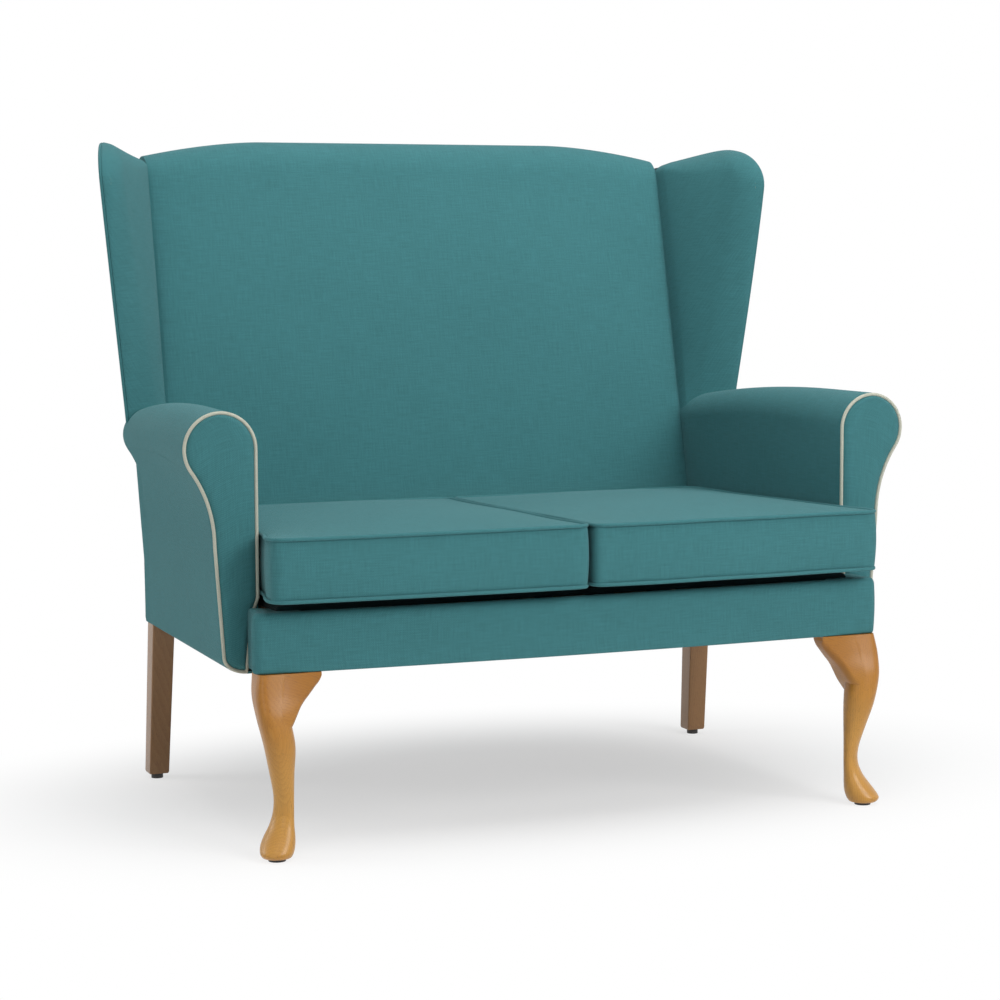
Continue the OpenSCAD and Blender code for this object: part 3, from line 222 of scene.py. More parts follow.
def shell(name, curves, depth, blind=False):
    """A padded cover: each open curve is closed by its own copy moved inwards by depth along its normal. With
    blind, the end curves are closed by a straight line instead, so that the cover's ends are shut."""
    curves = np.asarray(curves, dtype=float)
    du = np.gradient(curves, axis=1)
    dv = np.gradient(curves, axis=0)
    normal = np.cross(du, dv)
    normal /= np.maximum(np.linalg.norm(normal, axis=-1, keepdims=True), 1e-9)
    inner = curves - normal * depth
    if blind:
        share = np.linspace(0, 1, curves.shape[1])[:, None]
        for end in (0, -1):
            inner[end] = lerp(curves[end, 0], curves[end, -1], share)
    return loft(name, np.concatenate([curves, inner[:, ::-1]], axis=1))


def tube(name, path, radius, sides, closed, flat=(0, 0, 1)):
    """A round cord along a path: circles square to it, which the direction flat keeps from twisting."""
    path = np.asarray(path, dtype=float)
    if closed:
        tangent = np.roll(path, -1, axis=0) - np.roll(path, 1, axis=0)
    else:
        tangent = np.gradient(path, axis=0)
    tangent /= np.linalg.norm(tangent, axis=-1, keepdims=True)
    up = np.broadcast_to(np.asarray(flat, dtype=float), path.shape)
    side = np.cross(tangent, up)
    side /= np.linalg.norm(side, axis=-1, keepdims=True)
    up = np.cross(side, tangent)
    q = np.linspace(0, 2 * math.pi, sides, endpoint=False)[None, :, None]
    rings = path[:, None] + radius * (np.cos(q) * up[:, None] + np.sin(q) * side[:, None])
    if closed:
        rings = np.concatenate([rings, rings[:1]])
    return loft(name, rings, caps=not closed)


def mirrored(points):
    """The same piece on the left-hand side."""
    return np.asarray(points, dtype=float) * [-1, 1, 1]


def resample(points, count):
    """The same open line with count points at even lengths along it."""
    step = np.linalg.norm(np.diff(points, axis=0), axis=-1)
    s = np.concatenate([[0], np.cumsum(step)])
    t = np.linspace(0, s[-1], count)
    return np.stack([np.interp(t, s, points[:, k]) for k in range(points.shape[1])], axis=-1)


# Shader groups and materials
def put(tree, kind, **values):
    """A node of that kind; keys set its properties, or its inputs where they start with in_."""
    node = tree.nodes.new(kind)
    for key, value in values.items():
        if not key.startswith("in_"):
            setattr(node, key, value)
            continue
        title = key[3:]
        socket = node.inputs[int(title) if title.isdigit() else title.replace("_", " ")]
        if isinstance(value, bpy.types.NodeSocket):
            tree.links.new(value, socket)
        else:
            socket.default_value = value
    return node


def calc(tree, operation, a, b=0.0, c=0.0):
    """One Math node; each operand is a number or a socket."""
    return put(tree, "ShaderNodeMath", operation=operation, in_0=a, in_1=b, in_2=c).outputs[0]


def scaled(tree, vector, factors):
    """A vector times three factors."""
    return put(tree, "ShaderNodeVectorMath", operation="MULTIPLY", in_0=vector, in_1=factors).outputs[0]


def shaded(tree, colour, level):
    """A colour times a level."""
    return put(tree, "ShaderNodeVectorMath", operation="SCALE", in_0=colour, in_3=level).outputs[0]


def noise(tree, place, scale, detail):
    """The value of a noise texture."""
    return put(tree, "ShaderNodeTexNoise", in_Vector=place, in_Scale=scale, in_Detail=detail).outputs[0]


def eased_range(tree, value, low, high, start=0.0, kind="SMOOTHSTEP"):
    """A value from low to high taken to the range from start to 1."""
    return put(tree, "ShaderNodeMapRange", in_0=value, in_1=low, in_2=high, in_3=start, in_4=1.0,
               interpolation_type=kind).outputs[0]


def give(tree, sockets, **values):
    """Links each value to the socket of its name."""
    for key, value in values.items():
        tree.links.new(value, sockets[key.replace("_", " ")])


def blend_colours(tree, share, a, b, kind="MIX"):
    """Colour a mixed towards b by the share."""
    node = put(tree, "ShaderNodeMix", data_type="RGBA", blend_type=kind, in_0=share, in_6=a, in_7=b)
    return node.outputs[2]


def group(name, inputs, outputs):
    """An empty node group with those sockets: (name, kind, default value)."""
    tree = bpy.data.node_groups.new(name, "ShaderNodeTree")
    for title, kind, value in inputs:
        socket = tree.interface.new_socket(title, in_out="INPUT", socket_type="NodeSocket" + kind)
        if value is not None:
            socket.default_value = value
    for title, kind in outputs:
        tree.interface.new_socket(title, in_out="OUTPUT", socket_type="NodeSocket" + kind)
    return tree, tree.nodes.new("NodeGroupInput").outputs, tree.nodes.new("NodeGroupOutput").inputs


def linear(r, g, b):
    """A colour from 0 to 255 on screen as the linear colour a shader takes."""
    c = np.array([r, g, b]) / 255
    c = np.where(c <= 0.04045, c / 12.92, ((c + 0.055) / 1.055) ** 2.4)
    return (*[float(v) for v in c], 1.0)


def make_plain_weave():
    """Plain weave: warp and weft yarns cross over and under by turns, each a row of small round bumps."""
    tree, given, out = group(
        "plain weave",
        [("Vector", "Vector", None), ("Yarn", "Float", 0.0013), ("Warp", "Color", (0.1, 0.1, 0.1, 1)),
         ("Weft", "Color", (0.1, 0.1, 0.1, 1)), ("Slub", "Float", 0.5), ("Fade", "Float", 0.3)],
        [("Color", "Color"), ("Height", "Float"), ("Roughness", "Float")],
    )
    place, yarn = given["Vector"], given["Yarn"]
    split = put(tree, "ShaderNodeSeparateXYZ", in_0=place).outputs
    wander = calc(tree, "SUBTRACT", noise(tree, place, 90.0, 2.0), 0.5)
    sway = calc(tree, "MULTIPLY", wander, yarn)
    u = calc(tree, "DIVIDE", calc(tree, "ADD", split[0], sway), yarn)
    v = calc(tree, "DIVIDE", calc(tree, "SUBTRACT", split[1], sway), yarn)
    su = calc(tree, "SINE", calc(tree, "MULTIPLY", u, math.pi))
    sv = calc(tree, "SINE", calc(tree, "MULTIPLY", v, math.pi))
    over = calc(tree, "GREATER_THAN", calc(tree, "MULTIPLY", su, sv), 0.0)
    au, av = calc(tree, "ABSOLUTE", su), calc(tree, "ABSOLUTE", sv)
    warp = calc(tree, "MULTIPLY", au, calc(tree, "MULTIPLY_ADD", av, 0.5, 0.5))
    weft = calc(tree, "MULTIPLY", av, calc(tree, "MULTIPLY_ADD", au, 0.5, 0.5))
    under = calc(tree, "SUBTRACT", 1.0, over)
    height = calc(tree, "ADD", calc(tree, "MULTIPLY", over, warp), calc(tree, "MULTIPLY", under, weft))
    along = noise(tree, scaled(tree, place, (30.0, 520.0, 0.0)), 1.0, 3.0)
    across = noise(tree, scaled(tree, place, (520.0, 30.0, 0.0)), 1.0, 3.0)
    slub = calc(tree, "SUBTRACT", calc(tree, "ADD", along, across), 1.0)
    slub = calc(tree, "MULTIPLY", slub, given["Slub"])
    cloud = calc(tree, "SUBTRACT", noise(tree, place, 6.0, 3.0), 0.5)
    # The colour is darker where the yarns dip at their edges: painted shade between the yarns, with slow tone
    # clouds and slubs added on top.
    level = calc(tree, "ADD", calc(tree, "MULTIPLY_ADD", height, 0.34, 0.8),
                 calc(tree, "MULTIPLY", cloud, given["Fade"]))
    level = calc(tree, "ADD", level, slub)
    give(tree, out, Color=shaded(tree, blend_colours(tree, over, given["Weft"], given["Warp"]), level),
         Height=calc(tree, "ADD", height, slub), Roughness=calc(tree, "MULTIPLY_ADD", height, -0.1, 0.95))
    return tree


def make_wood_grain():
    """Wood grain along z: year rings from the warped distance to the pith, and pores drawn out along z."""
    tree, given, out = group(
        "wood grain",
        [("Vector", "Vector", None), ("Early", "Color", (0.5, 0.3, 0.1, 1)),
         ("Late", "Color", (0.3, 0.15, 0.05, 1)), ("Rings", "Float", 90.0), ("Pores", "Float", 0.4)],
        [("Color", "Color"), ("Height", "Float"), ("Roughness", "Float")],
    )
    squash = scaled(tree, given["Vector"], (1.0, 1.0, 0.09))
    warp = put(tree, "ShaderNodeTexNoise", in_Vector=squash, in_Scale=9.0, in_Detail=3.0).outputs[1]
    bent = put(tree, "ShaderNodeVectorMath", operation="MULTIPLY_ADD", in_0=warp, in_1=(0.035, 0.035, 0.0),
               in_2=squash).outputs[0]
    ring = put(tree, "ShaderNodeTexWave", wave_type="RINGS", rings_direction="Z", wave_profile="SAW",
               in_Vector=bent, in_Scale=given["Rings"], in_Distortion=1.5, in_Detail=2.0,
               in_Detail_Scale=1.5).outputs[1]
    pore = noise(tree, scaled(tree, given["Vector"], (1500.0, 1500.0, 60.0)), 1.0, 2.0)
    pores = eased_range(tree, pore, 0.56, 0.72, kind="LINEAR")
    broad = noise(tree, squash, 26.0, 2.0)
    share = calc(tree, "ADD", calc(tree, "MULTIPLY", ring, 0.26), calc(tree, "MULTIPLY", broad, 0.66))
    base = blend_colours(tree, share, given["Early"], given["Late"])
    dark = calc(tree, "MULTIPLY", pores, given["Pores"])
    give(tree, out, Color=blend_colours(tree, dark, base, (0.07, 0.03, 0.012, 1)),
         Height=calc(tree, "SUBTRACT", calc(tree, "MULTIPLY", ring, 0.2), pores),
         Roughness=calc(tree, "MULTIPLY_ADD", share, 0.12, 0.3))
    return tree


def make_handling():
    """Handling and dust: a slow cloud that lifts or drops a colour a little, and roughens what it lifts."""
    tree, given, out = group(
        "handling",
        [("Vector", "Vector", None), ("Color", "Color", (0.5, 0.5, 0.5, 1)), ("Amount", "Float", 0.2),
         ("Size", "Float", 8.0), ("Base", "Float", 0.5)],
        [("Color", "Color"), ("Roughness", "Float")],
    )
    cloud = calc(tree, "SUBTRACT", noise(tree, given["Vector"], given["Size"], 4.0), 0.5)
    swing = calc(tree, "MULTIPLY", cloud, given["Amount"])
    give(tree, out, Color=shaded(tree, given["Color"], calc(tree, "ADD", 1.0, swing)),
         Roughness=calc(tree, "ADD", given["Base"], swing))
    return tree


WEAVE, GRAIN, HANDLING = make_plain_weave(), make_wood_grain(), make_handling()


def start_material(name, **constants):
    """A material with its Principled shader, whose constants are set on its own sockets."""
    material = bpy.data.materials.new(name)
    material.use_nodes = True
    tree = material.node_tree
    shader = tree.nodes["Principled BSDF"]
    for key, value in constants.items():
        shader.inputs[key.replace("_", " ")].default_value = value
    return material, tree, shader


def bump(tree, height, distance, strength):
    """A Bump node of that depth in metres."""
    node = put(tree, "ShaderNodeBump", in_Height=height, in_Distance=distance, in_Strength=strength)
    return node.outputs[0]


def use_group(tree, inner, place, **values):
    """The outputs of a group that is read at a place, with its values set."""
    node = put(tree, "ShaderNodeGroup", node_tree=inner)
    tree.links.new(place, node.inputs["Vector"])
    for key, value in values.items():
        node.inputs[key].default_value = value
    return node.outputs


def object_place(tree):
    """Object coordinates, in metres."""
    return put(tree, "ShaderNodeTexCoord").outputs["Object"]


def cloth(name, warp, weft, yarn=0.0013, slub=0.35, turn=0.0, sheet_map=True):
    """Woven cloth on the piece's own cloth map, turned on the bias by turn, with a short dry sheen."""
    material, tree, shader = start_material(name, Specular_IOR_Level=0.18, Sheen_Weight=0.1,
                                            Sheen_Roughness=0.45, Sheen_Tint=(1.0, 0.98, 0.96, 1.0))
    place = put(tree, "ShaderNodeUVMap", uv_map="cloth").outputs[0] if sheet_map else object_place(tree)
    turned = put(tree, "ShaderNodeMapping", in_Vector=place, in_Rotation=(0.0, 0.0, turn)).outputs[0]
    weave = use_group(tree, WEAVE, turned, Yarn=yarn, Warp=warp, Weft=weft, Slub=slub, Fade=0.12)
    give(tree, shader.inputs, Base_Color=weave["Color"], Roughness=weave["Roughness"],
         Normal=bump(tree, weave["Height"], 0.0004, 0.5))
    return material


def wood(name, early, late, rings=90.0, coat=0.0, turn=(0.0, 0.0, 0.0), lift=1.0, top_shade=None):
    """Wood on Object coordinates, its grain along z turned by turn, with or without a coat of lacquer. With a
    tint given, the top of a leg is darker by it than its ankle and foot: painted shade under the border."""
    material, tree, shader = start_material(name, Coat_Weight=coat, Coat_Roughness=0.22,
                                            Specular_IOR_Level=0.4)
    place = put(tree, "ShaderNodeMapping", in_Vector=object_place(tree), in_Rotation=turn,
                in_Location=(0.37, 0.21, 0.0)).outputs[0]
    grain = use_group(tree, GRAIN, place, Early=early, Late=late, Rings=rings, Pores=0.4)
    tone = grain["Color"]
    # Painted shade: the top of the leg, under the border, is multiplied by the tint, so it is darker than the
    # ankle and foot.
    if top_shade:
        height = put(tree, "ShaderNodeSeparateXYZ", in_0=object_place(tree)).outputs[2]
        deep = blend_colours(tree, 1.0, tone, (*top_shade, 1.0), "MULTIPLY")
        tone = blend_colours(tree, eased_range(tree, height, 0.1, 0.25), tone, deep)
    give(tree, shader.inputs, Base_Color=tone, Roughness=calc(tree, "MULTIPLY", grain["Roughness"], lift),
         Normal=bump(tree, grain["Height"], 0.0003, 0.35))
    return material


def plain(name, colour, rough, metallic=0.0, grit=600.0, depth=0.0002):
    """A moulded or worked finish: one colour with slow handling clouds and a fine grit."""
    material, tree, shader = start_material(name, Metallic=metallic)
    place = object_place(tree)
    hand = use_group(tree, HANDLING, place, Color=colour, Amount=0.2, Size=8.0, Base=rough)
    give(tree, shader.inputs, Base_Color=hand["Color"], Roughness=hand["Roughness"],
         Normal=bump(tree, noise(tree, place, grit, 3.0), depth, 0.4))
    return material


BIAS = math.pi / 4
TEAL_WARP, TEAL_WEFT = linear(72, 130, 134), linear(62, 120, 125)
TEAL = cloth("teal plain weave", TEAL_WARP, TEAL_WEFT)
TEAL_CORD = cloth("teal piping on the bias", TEAL_WARP, TEAL_WEFT, turn=BIAS, slub=0.2)
CREAM_CORD = cloth("cream piping on the bias", linear(206, 206, 190), linear(192, 193, 177), turn=BIAS,
                   slub=0.12)
LINING = cloth("black bottoming cloth", linear(38, 37, 38), linear(30, 30, 31), yarn=0.0009, slub=0.1)
DECK = cloth("dark platform cloth", linear(44, 60, 62), linear(38, 52, 54), yarn=0.0011, slub=0.1)
JUTE = cloth("jute webbing", linear(150, 118, 78), linear(128, 96, 60), yarn=0.0022, slub=0.4,
             sheet_map=False)
# Tint for the painted shade on the tops of the front legs and knee blocks, under the border.
UNDER_BORDER_SHADE = (0.7, 0.56, 0.24)
HONEY = wood("honey beech", linear(214, 160, 74), linear(182, 125, 46), coat=0.2, top_shade=UNDER_BORDER_SHADE)
# The back legs take a darker copy of the front legs' beech: painted shade, for legs that stand in shade.
HONEY_IN_SHADE = wood("back leg beech", linear(160, 118, 74), linear(128, 90, 52), coat=0.2)
HONEY_EAR = wood("honey beech, grain across", linear(213, 159, 74), linear(181, 124, 46), coat=0.2, top_shade=UNDER_BORDER_SHADE,
                 turn=(0.0, math.pi / 2.6, 0.0))
RAW = linear(206, 172, 128), linear(186, 148, 104)
RAW_X = wood("frame beech across", *RAW, turn=(0.0, math.pi / 2, 0.0), lift=1.7)
RAW_Y = wood("frame beech lengthways", *RAW, turn=(math.pi / 2, 0.0, 0.0), lift=1.7)
RAW_Z = wood("frame beech upright", *RAW, lift=1.7)
BOARD = wood("birch ply board", linear(216, 190, 150), linear(198, 168, 124), rings=40.0, lift=1.8)
FOAM = plain("cushion foam", linear(232, 222, 176), 0.9, grit=380.0, depth=0.0008)
STEEL = plain("zinc plated steel", linear(196, 196, 192), 0.32, metallic=1.0)
GLIDE = plain("dark nylon glide", linear(40, 36, 33), 0.5)
BRASS = plain("zip teeth", linear(186, 172, 130), 0.35, metallic=1.0)


def dress(obj, material, body="settee", nodes=()):
    """Gives a new piece its finish and its body, and hides the nodes that it stands for."""
    obj.data.materials.clear()
    obj.data.materials.append(material)
    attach(obj, body)
    if nodes:
        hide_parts(*nodes)
    return obj


def cover(name, rings, node):
    """A padded cover in the settee's cloth, which stands for one node."""
    dress(loft(name, rings), TEAL, nodes=[node])


SIDES = (("right", lambda p: np.asarray(p, dtype=float)), ("left", mirrored))


# Legs
# Stations up the carved leg from the pad to the block: height, shift outwards and back, reach towards the
# corner and across it, and how square it is, all as shares
RISE = [0, 0.026, 0.063, 0.107, 0.166, 0.24, 0.332, 0.461, 0.616, 0.764, 0.886, 1]
OUT = [0.04, 0.04, -0.06, -0.2, -0.37, -0.49, -0.49, -0.36, -0.19, 0.08, 0.16, 0]
BACK = [-0.94, -0.93, -0.76, -0.62, -0.5, -0.45, -0.51, -0.65, -0.83, -0.66, -0.3, 0]
DEEP = [0.82, 0.97, 0.9, 0.73, 0.52, 0.4, 0.44, 0.64, 0.87, 0.94, 0.88, 0.86]
WIDE = [0.8, 0.91, 0.96, 0.89, 0.72, 0.61, 0.59, 0.67, 0.8, 0.82, 0.88, 0.86]
SQUARE = [0, 0, 0, 0, 0, 0, 0, 0.04, 0.2, 0.45, 0.75, 1]
KNEE_R, FOOT_R, SWING, LEG_PROUD, GLIDE_H, REAR_GLIDE_H = 28.0, 27.0, 28.0, 6.0, 5.0, 9.0
LEG_X, LEG_Y = HALF_W - KNEE_R - 0.4, BLOCK / 2 - LEG_PROUD
SOFT_SQUARE, POST_SQUARE, BLOCK_SQUARE = 5, 16, 30


def squarish(r, power, q):
    """A superellipse: the cosine and sine of q, each raised to two over power, times r."""
    c, s = np.cos(q), np.sin(q)
    return r * np.sign(c) * np.abs(c) ** (2 / power), r * np.sign(s) * np.abs(s) ** (2 / power)


def leg_rings(rows=110, sides=96):
    """Cabriole leg: ovals set across the corner that swing out at the knee, in at the ankle and out again at
    the pad, turning into a rounded square under the block."""
    t = np.linspace(0, 1, rows)[:, None]
    q = np.linspace(0, 2 * math.pi, sides, endpoint=False)[None, :]
    deep = table(DEEP, t) * lerp(FOOT_R, KNEE_R, t)
    wide = table(WIDE, t) * lerp(FOOT_R, KNEE_R, t)
    ox = (deep * np.cos(q) + wide * np.sin(q)) / math.sqrt(2)
    oy = (-deep * np.cos(q) + wide * np.sin(q)) / math.sqrt(2)
    sx, sy = squarish(BLOCK / 2, SOFT_SQUARE, q - math.pi / 4)
    mix = table(SQUARE, t)
    z = GLIDE_H + (LEG_H - GLIDE_H) * table(RISE, t)
    edge = rounded(t * rows / 7) * 0.06 + 0.94
    body = stack(LEG_X + SWING * table(OUT, t) + lerp(ox, sx, mix) * edge,
                 LEG_Y + SWING * table(BACK, t) + lerp(oy, sy, mix) * edge, z)
    bx, by = squarish(BLOCK / 2, BLOCK_SQUARE, q - math.pi / 4)
    bx, by = BLOCK_OUT - BLOCK / 2 + bx, BORDER_R + BLOCK / 2 + by
    return np.concatenate([body, stack(bx, by, LEG_H - 0.6), stack(bx, by, RAIL_TOP)])


# Depth of the knee block at even stations from inside the leg to its tip, as shares of its height
EAR_DROP = [1.35, 1.24, 1.12, 1.0, 0.85, 0.7, 0.585, 0.49, 0.39, 0.29, 0.24]
EAR_FACE, EAR_LEN, EAR_H = LEG_X - BLOCK / 2 + 6, 54.0, 76.0
EAR_INSIDE, EAR_EDGE, EAR_TIP_R = 0.25, 13.0, 9.0
EAR_FRONT, EAR_REAR_ROOT, EAR_REAR_TIP = 0.92, 0.8, 0.36


def leg_front(z):
    """Foremost line of a front leg at the height z: its centre less the reach of its oval, mixed with that of
    its square."""
    t = np.linspace(0, 1, 60)
    t = np.interp(z, GLIDE_H + (LEG_H - GLIDE_H) * table(RISE, t), t)
    r = lerp(FOOT_R, KNEE_R, t)
    oval = np.sqrt((table(DEEP, t) * r) ** 2 / 2 + (table(WIDE, t) * r) ** 2 / 2)
    return LEG_Y + SWING * table(BACK, t) - lerp(oval, BLOCK / 2, table(SQUARE, t))


def ear_rings(rows=60):
    """Knee block: upright sections that begin inside the leg and shrink along an ogee to a thin rounded tip.
    Their front runs straight from the leg's foremost line to the tip, so the two meet without an edge."""
    s = np.concatenate([np.linspace(-EAR_INSIDE, 0.8, rows, endpoint=False), np.linspace(0.8, 1, 14) ** 0.8])
    s = s[:, None]
    t = np.maximum(s, 0)
    x = EAR_FACE - 0.5 - (EAR_LEN - 0.5) * s
    tip = LEG_Y - BLOCK / 2 * EAR_FRONT
    share = (s + EAR_INSIDE) / (1 + EAR_INSIDE)
    rear = LEG_Y + BLOCK / 2 * lerp(EAR_REAR_ROOT, EAR_REAR_TIP, t)
    top = LEG_H - 0.2
    low = top - EAR_H * table(EAR_DROP, share) * rounded((1 - t) * EAR_LEN / EAR_TIP_R + 0.1)
    r = np.minimum(EAR_EDGE, (top - low) * 0.6)
    q = np.linspace(0, math.pi / 2, 9)[None, :]

    def front(z):
        return lerp(leg_front(z) + 0.3, tip, share)

    high = lerp(top, low + r, np.linspace(0, 1, 14)[None, :])
    face = stack(x, front(high), high)
    near = stack(x, front(low + r) + r * (1 - np.cos(q)), low + r * (1 - np.sin(q)))[:, 1:]
    far = stack(x, rear - r / 2 * (1 - np.sin(q)), low + r / 2 * (1 - np.cos(q)))
    return np.concatenate([face, near, far, stack(x, rear, top)], axis=1)


def rear_leg_rings(sides=40):
    """Back leg: a square with small round corners, straight and splayed below the seat, raked above it."""
    foot = REAR_GLIDE_H
    z = np.array([foot, foot + 3, 40, 120, 200, LEG_H, 330, BORDER_TOP, 500, 700, 900, POST_TOP])[:, None]
    low = np.clip((LEG_H - z) / (LEG_H - foot), 0, 1)
    chamfer = np.where(z < foot + 1, 0.93, 1)
    w = lerp(POST_W, POST_FOOT, low) * chamfer
    d = lerp(POST_D, POST_FOOT, low) * chamfer / np.where(z > BORDER_TOP, math.cos(RAKE), 1)
    cx = POST_OUT - POST_W / 2 + POST_SPLAY * low
    cy = np.where(z > BORDER_TOP, (post_front(z) + post_back(z)) / 2, FRAME_D + POST_D / 2 + POST_KICK * low)
    q = np.linspace(0, 2 * math.pi, sides, endpoint=False)[None, :] + math.pi / sides
    sx, sy = squarish(0.5, POST_SQUARE, q)
    return stack(cx + sx * w, cy + sy * d, z)


LEG_PIECES = (("cabriole_leg_", leg_rings(), HONEY, "front_leg_"),
              ("shaped_knee_block_", ear_rings(), HONEY_EAR, "knee_block_"),
              ("splayed_back_leg_", rear_leg_rings(), HONEY_IN_SHADE, "rear_leg_"))
for side, turned in SIDES:
    for name, rings, finish, node in LEG_PIECES:
        dress(loft(name + side, turned(rings)), finish, nodes=[node + side])


# Back
CREST_START, CREST_POWER, CROWN_START = 0.56, 1.7, 2.0
HEM_LAP = 3.0


def crest_z(x):
    """Crest line: level in the middle, then falling to the shoulders with a power of the way past that."""
    past = np.maximum(0, np.abs(x) / BACK_EDGE - CREST_START) / (1 - CREST_START)
    return OVERALL_H - SHOULDER_DROP * past ** CREST_POWER


def crease_y(z):
    """Where the back meets the wings: the posts' front less a padding that grows from seat to head."""
    share = np.clip((z - SEAT_H) / (POST_TOP - SEAT_H), 0, 1)
    return post_front(z) - lerp(BACK_PAD_LOW, BACK_PAD_HIGH, share)


def back_face(x, z):
    """Front of the back: the crease line less a crown, which is a power of one less a power of the way out,
    and fullest half-way up."""
    low = DECK_TOP + CROWN_START
    crown = BACK_CROWN * np.maximum(0, 1 - np.abs(x / BACK_EDGE) ** 2.6) ** 0.6
    return crease_y(z) - crown * (0.55 + 0.45 * hump(np.clip((z - low) / (OVERALL_H - low), 0, 1)))


def back_curves(cols=150, rows=90):
    """Inside back: up the crowned face, round the crest roll, first by a Bezier curve that leaves
    the face without a kink and then by a quarter oval, and down behind the top rail."""
    x = (BACK_EDGE + 1.5) * np.sin(np.linspace(-math.pi / 2, math.pi / 2, cols))[:, None]
    top = crest_z(x)
    turn = top - CREST_ROLL
    t = np.linspace(0, 1, rows)[None, :]
    z = lerp(DECK_TOP + CROWN_START, turn, t)
    face = stack(x, back_face(x, z) - 1.2 * ripple(stack(x, 0, z), 420, 3) * hump(t), z)
    q = np.linspace(0, math.pi / 2, 15)[None, 1:]
    start = face[:, -1:, 1]
    bulge = post_back(top - ROLL_LOW) + ROLL_BACK
    ridge = lerp(start, bulge, 0.55)
    lean = (face[:, -1:, 1] - face[:, -2:-1, 1]) / (face[:, -1:, 2] - face[:, -2:-1, 2])
    reach, pull = 26, 30
    over = bezier(stack(x, start, turn), stack(x, start + reach * lean, turn + reach),
                  stack(x, ridge - pull, top), stack(x, ridge, top), q / (math.pi / 2))
    down = stack(x, lerp(ridge, bulge, np.sin(q)), lerp(top - ROLL_LOW, top, np.cos(q)))
    hem_z = top - OUTSIDE_TOP - HEM_LAP
    hem = stack(x, post_back(hem_z) + 2, hem_z)
    return np.concatenate([face, over, down, hem], axis=1)


back = shell("inside_back_cover", back_curves(), -6, blind=True)
dress(back, TEAL, nodes=["inside_back"])


def outside_back_rings(cols=90):
    """Outside back: a thin padded panel down the posts, puffed a little between its tacked edges."""
    half, step, hem = POST_OUT + COVER + 0.2, 1.5, 5
    seam = np.array([BACK_EDGE, BACK_EDGE + step])
    x = half * np.sin(np.linspace(-math.pi / 2, math.pi / 2, cols))
    x = np.sort(np.concatenate([x, seam, -seam]))[:, None]
    horn = np.clip((np.abs(x) - BACK_EDGE) / step, 0, 1)
    top = lerp(crest_z(np.minimum(np.abs(x), BACK_EDGE)) - OUTSIDE_TOP, WING_BACK_Z - COVER, horn)
    t = np.concatenate([[0, 0.004, 0.012], np.linspace(0.03, 0.97, 40), [0.988, 0.996, 1]])[None, :]
    z = lerp(LEG_H, top, t)
    edge = np.minimum(rounded((half - np.abs(x)) / hem), rounded((top - z) / hem))
    edge = np.minimum(edge, rounded((z - LEG_H) / hem))
    puff = 2.5 * hump(t) * np.cos(x / half * math.pi / 2)
    wave = 0.5 * ripple(stack(x, 0, z), 260, 8)
    outer = stack(x, post_back(z) + 0.4 + (COVER + puff + wave) * edge, z)
    inner = stack(x, post_back(z) + 0.2, z)
    return np.concatenate([outer, inner[:, ::-1]], axis=1)


cover("outside_back_cover", outside_back_rings(), "outside_back")


# Arms
NECK_TURN = math.radians(-35)
ARM_LEVEL, NECK_FALL, NECK_PULL = 200, 30, 0.36
POST_LAP = 8
ARM_CLOSE = float(post_back(NECK_H))


def arm_share(y):
    """How far along the arm y is, from the facing to the wing."""
    return np.clip((y - ARM_FRONT) / (ARM_REAR - ARM_FRONT), 0, 1)


def arm_in(y):
    """Inner face of an arm."""
    return lerp(IN_FRONT, IN_REAR, arm_share(y))


def arm_out(y):
    """Outermost line of the scroll, closing on to the post behind the wing."""
    close = np.clip((y - ARM_REAR) / (ARM_END - ARM_REAR), 0, 1)
    return lerp(lerp(OVERALL_W, SCROLL_REAR, arm_share(y)) / 2, POST_OUT + 18, close ** 2)


def arm_top(y):
    """Top line of an arm: level at the front, then falling with the square of the way back."""
    return ARM_H - ARM_FALL * (np.maximum(0, y - ARM_LEVEL) / (ARM_REAR - ARM_LEVEL)) ** 2


def on_arc(y, q, d):
    """The scroll: a circle as wide as the arm, under its top line, drawn in by d."""
    r = (arm_out(y) - arm_in(y)) / 2
    return (arm_out(y) + arm_in(y)) / 2 + (r - d) * np.cos(q), arm_top(y) - r + (r - d) * np.sin(q)


def inside_arm_curves(rows=90, turns=44):
    """Inside arm: up the inner face, over the scroll and down to its tack line, at stations along the arm."""
    y = np.concatenate([[ARM_FRONT - 0.2, ARM_FRONT + 1.5], np.linspace(ARM_FRONT + 5, ARM_END, rows)])
    y = y[:, None]
    q = np.linspace(math.pi, NECK_TURN, turns)[None, :]
    tight = 1.6 * (1 - rounded((y - ARM_FRONT) / 9))
    ax, az = on_arc(y, q, tight)
    t = np.linspace(0, 1, 26)[None, :-1]
    z = lerp(RAIL_TOP + 6, az[:, :1], t)
    swell = 2.5 * hump(t) * hump(arm_share(y)) + 0.6 * ripple(stack(0, y, z), 200, 5)
    face = stack(arm_in(y) + tight - swell, y, z)
    roll = stack(ax + 0.5 * ripple(stack(ax, y, az), 170, 6) * np.cos(q), y, az)
    line = np.concatenate([face, roll], axis=1)
    line[..., 1] = np.minimum(line[..., 1], post_back(line[..., 2]) - POST_LAP)
    return line


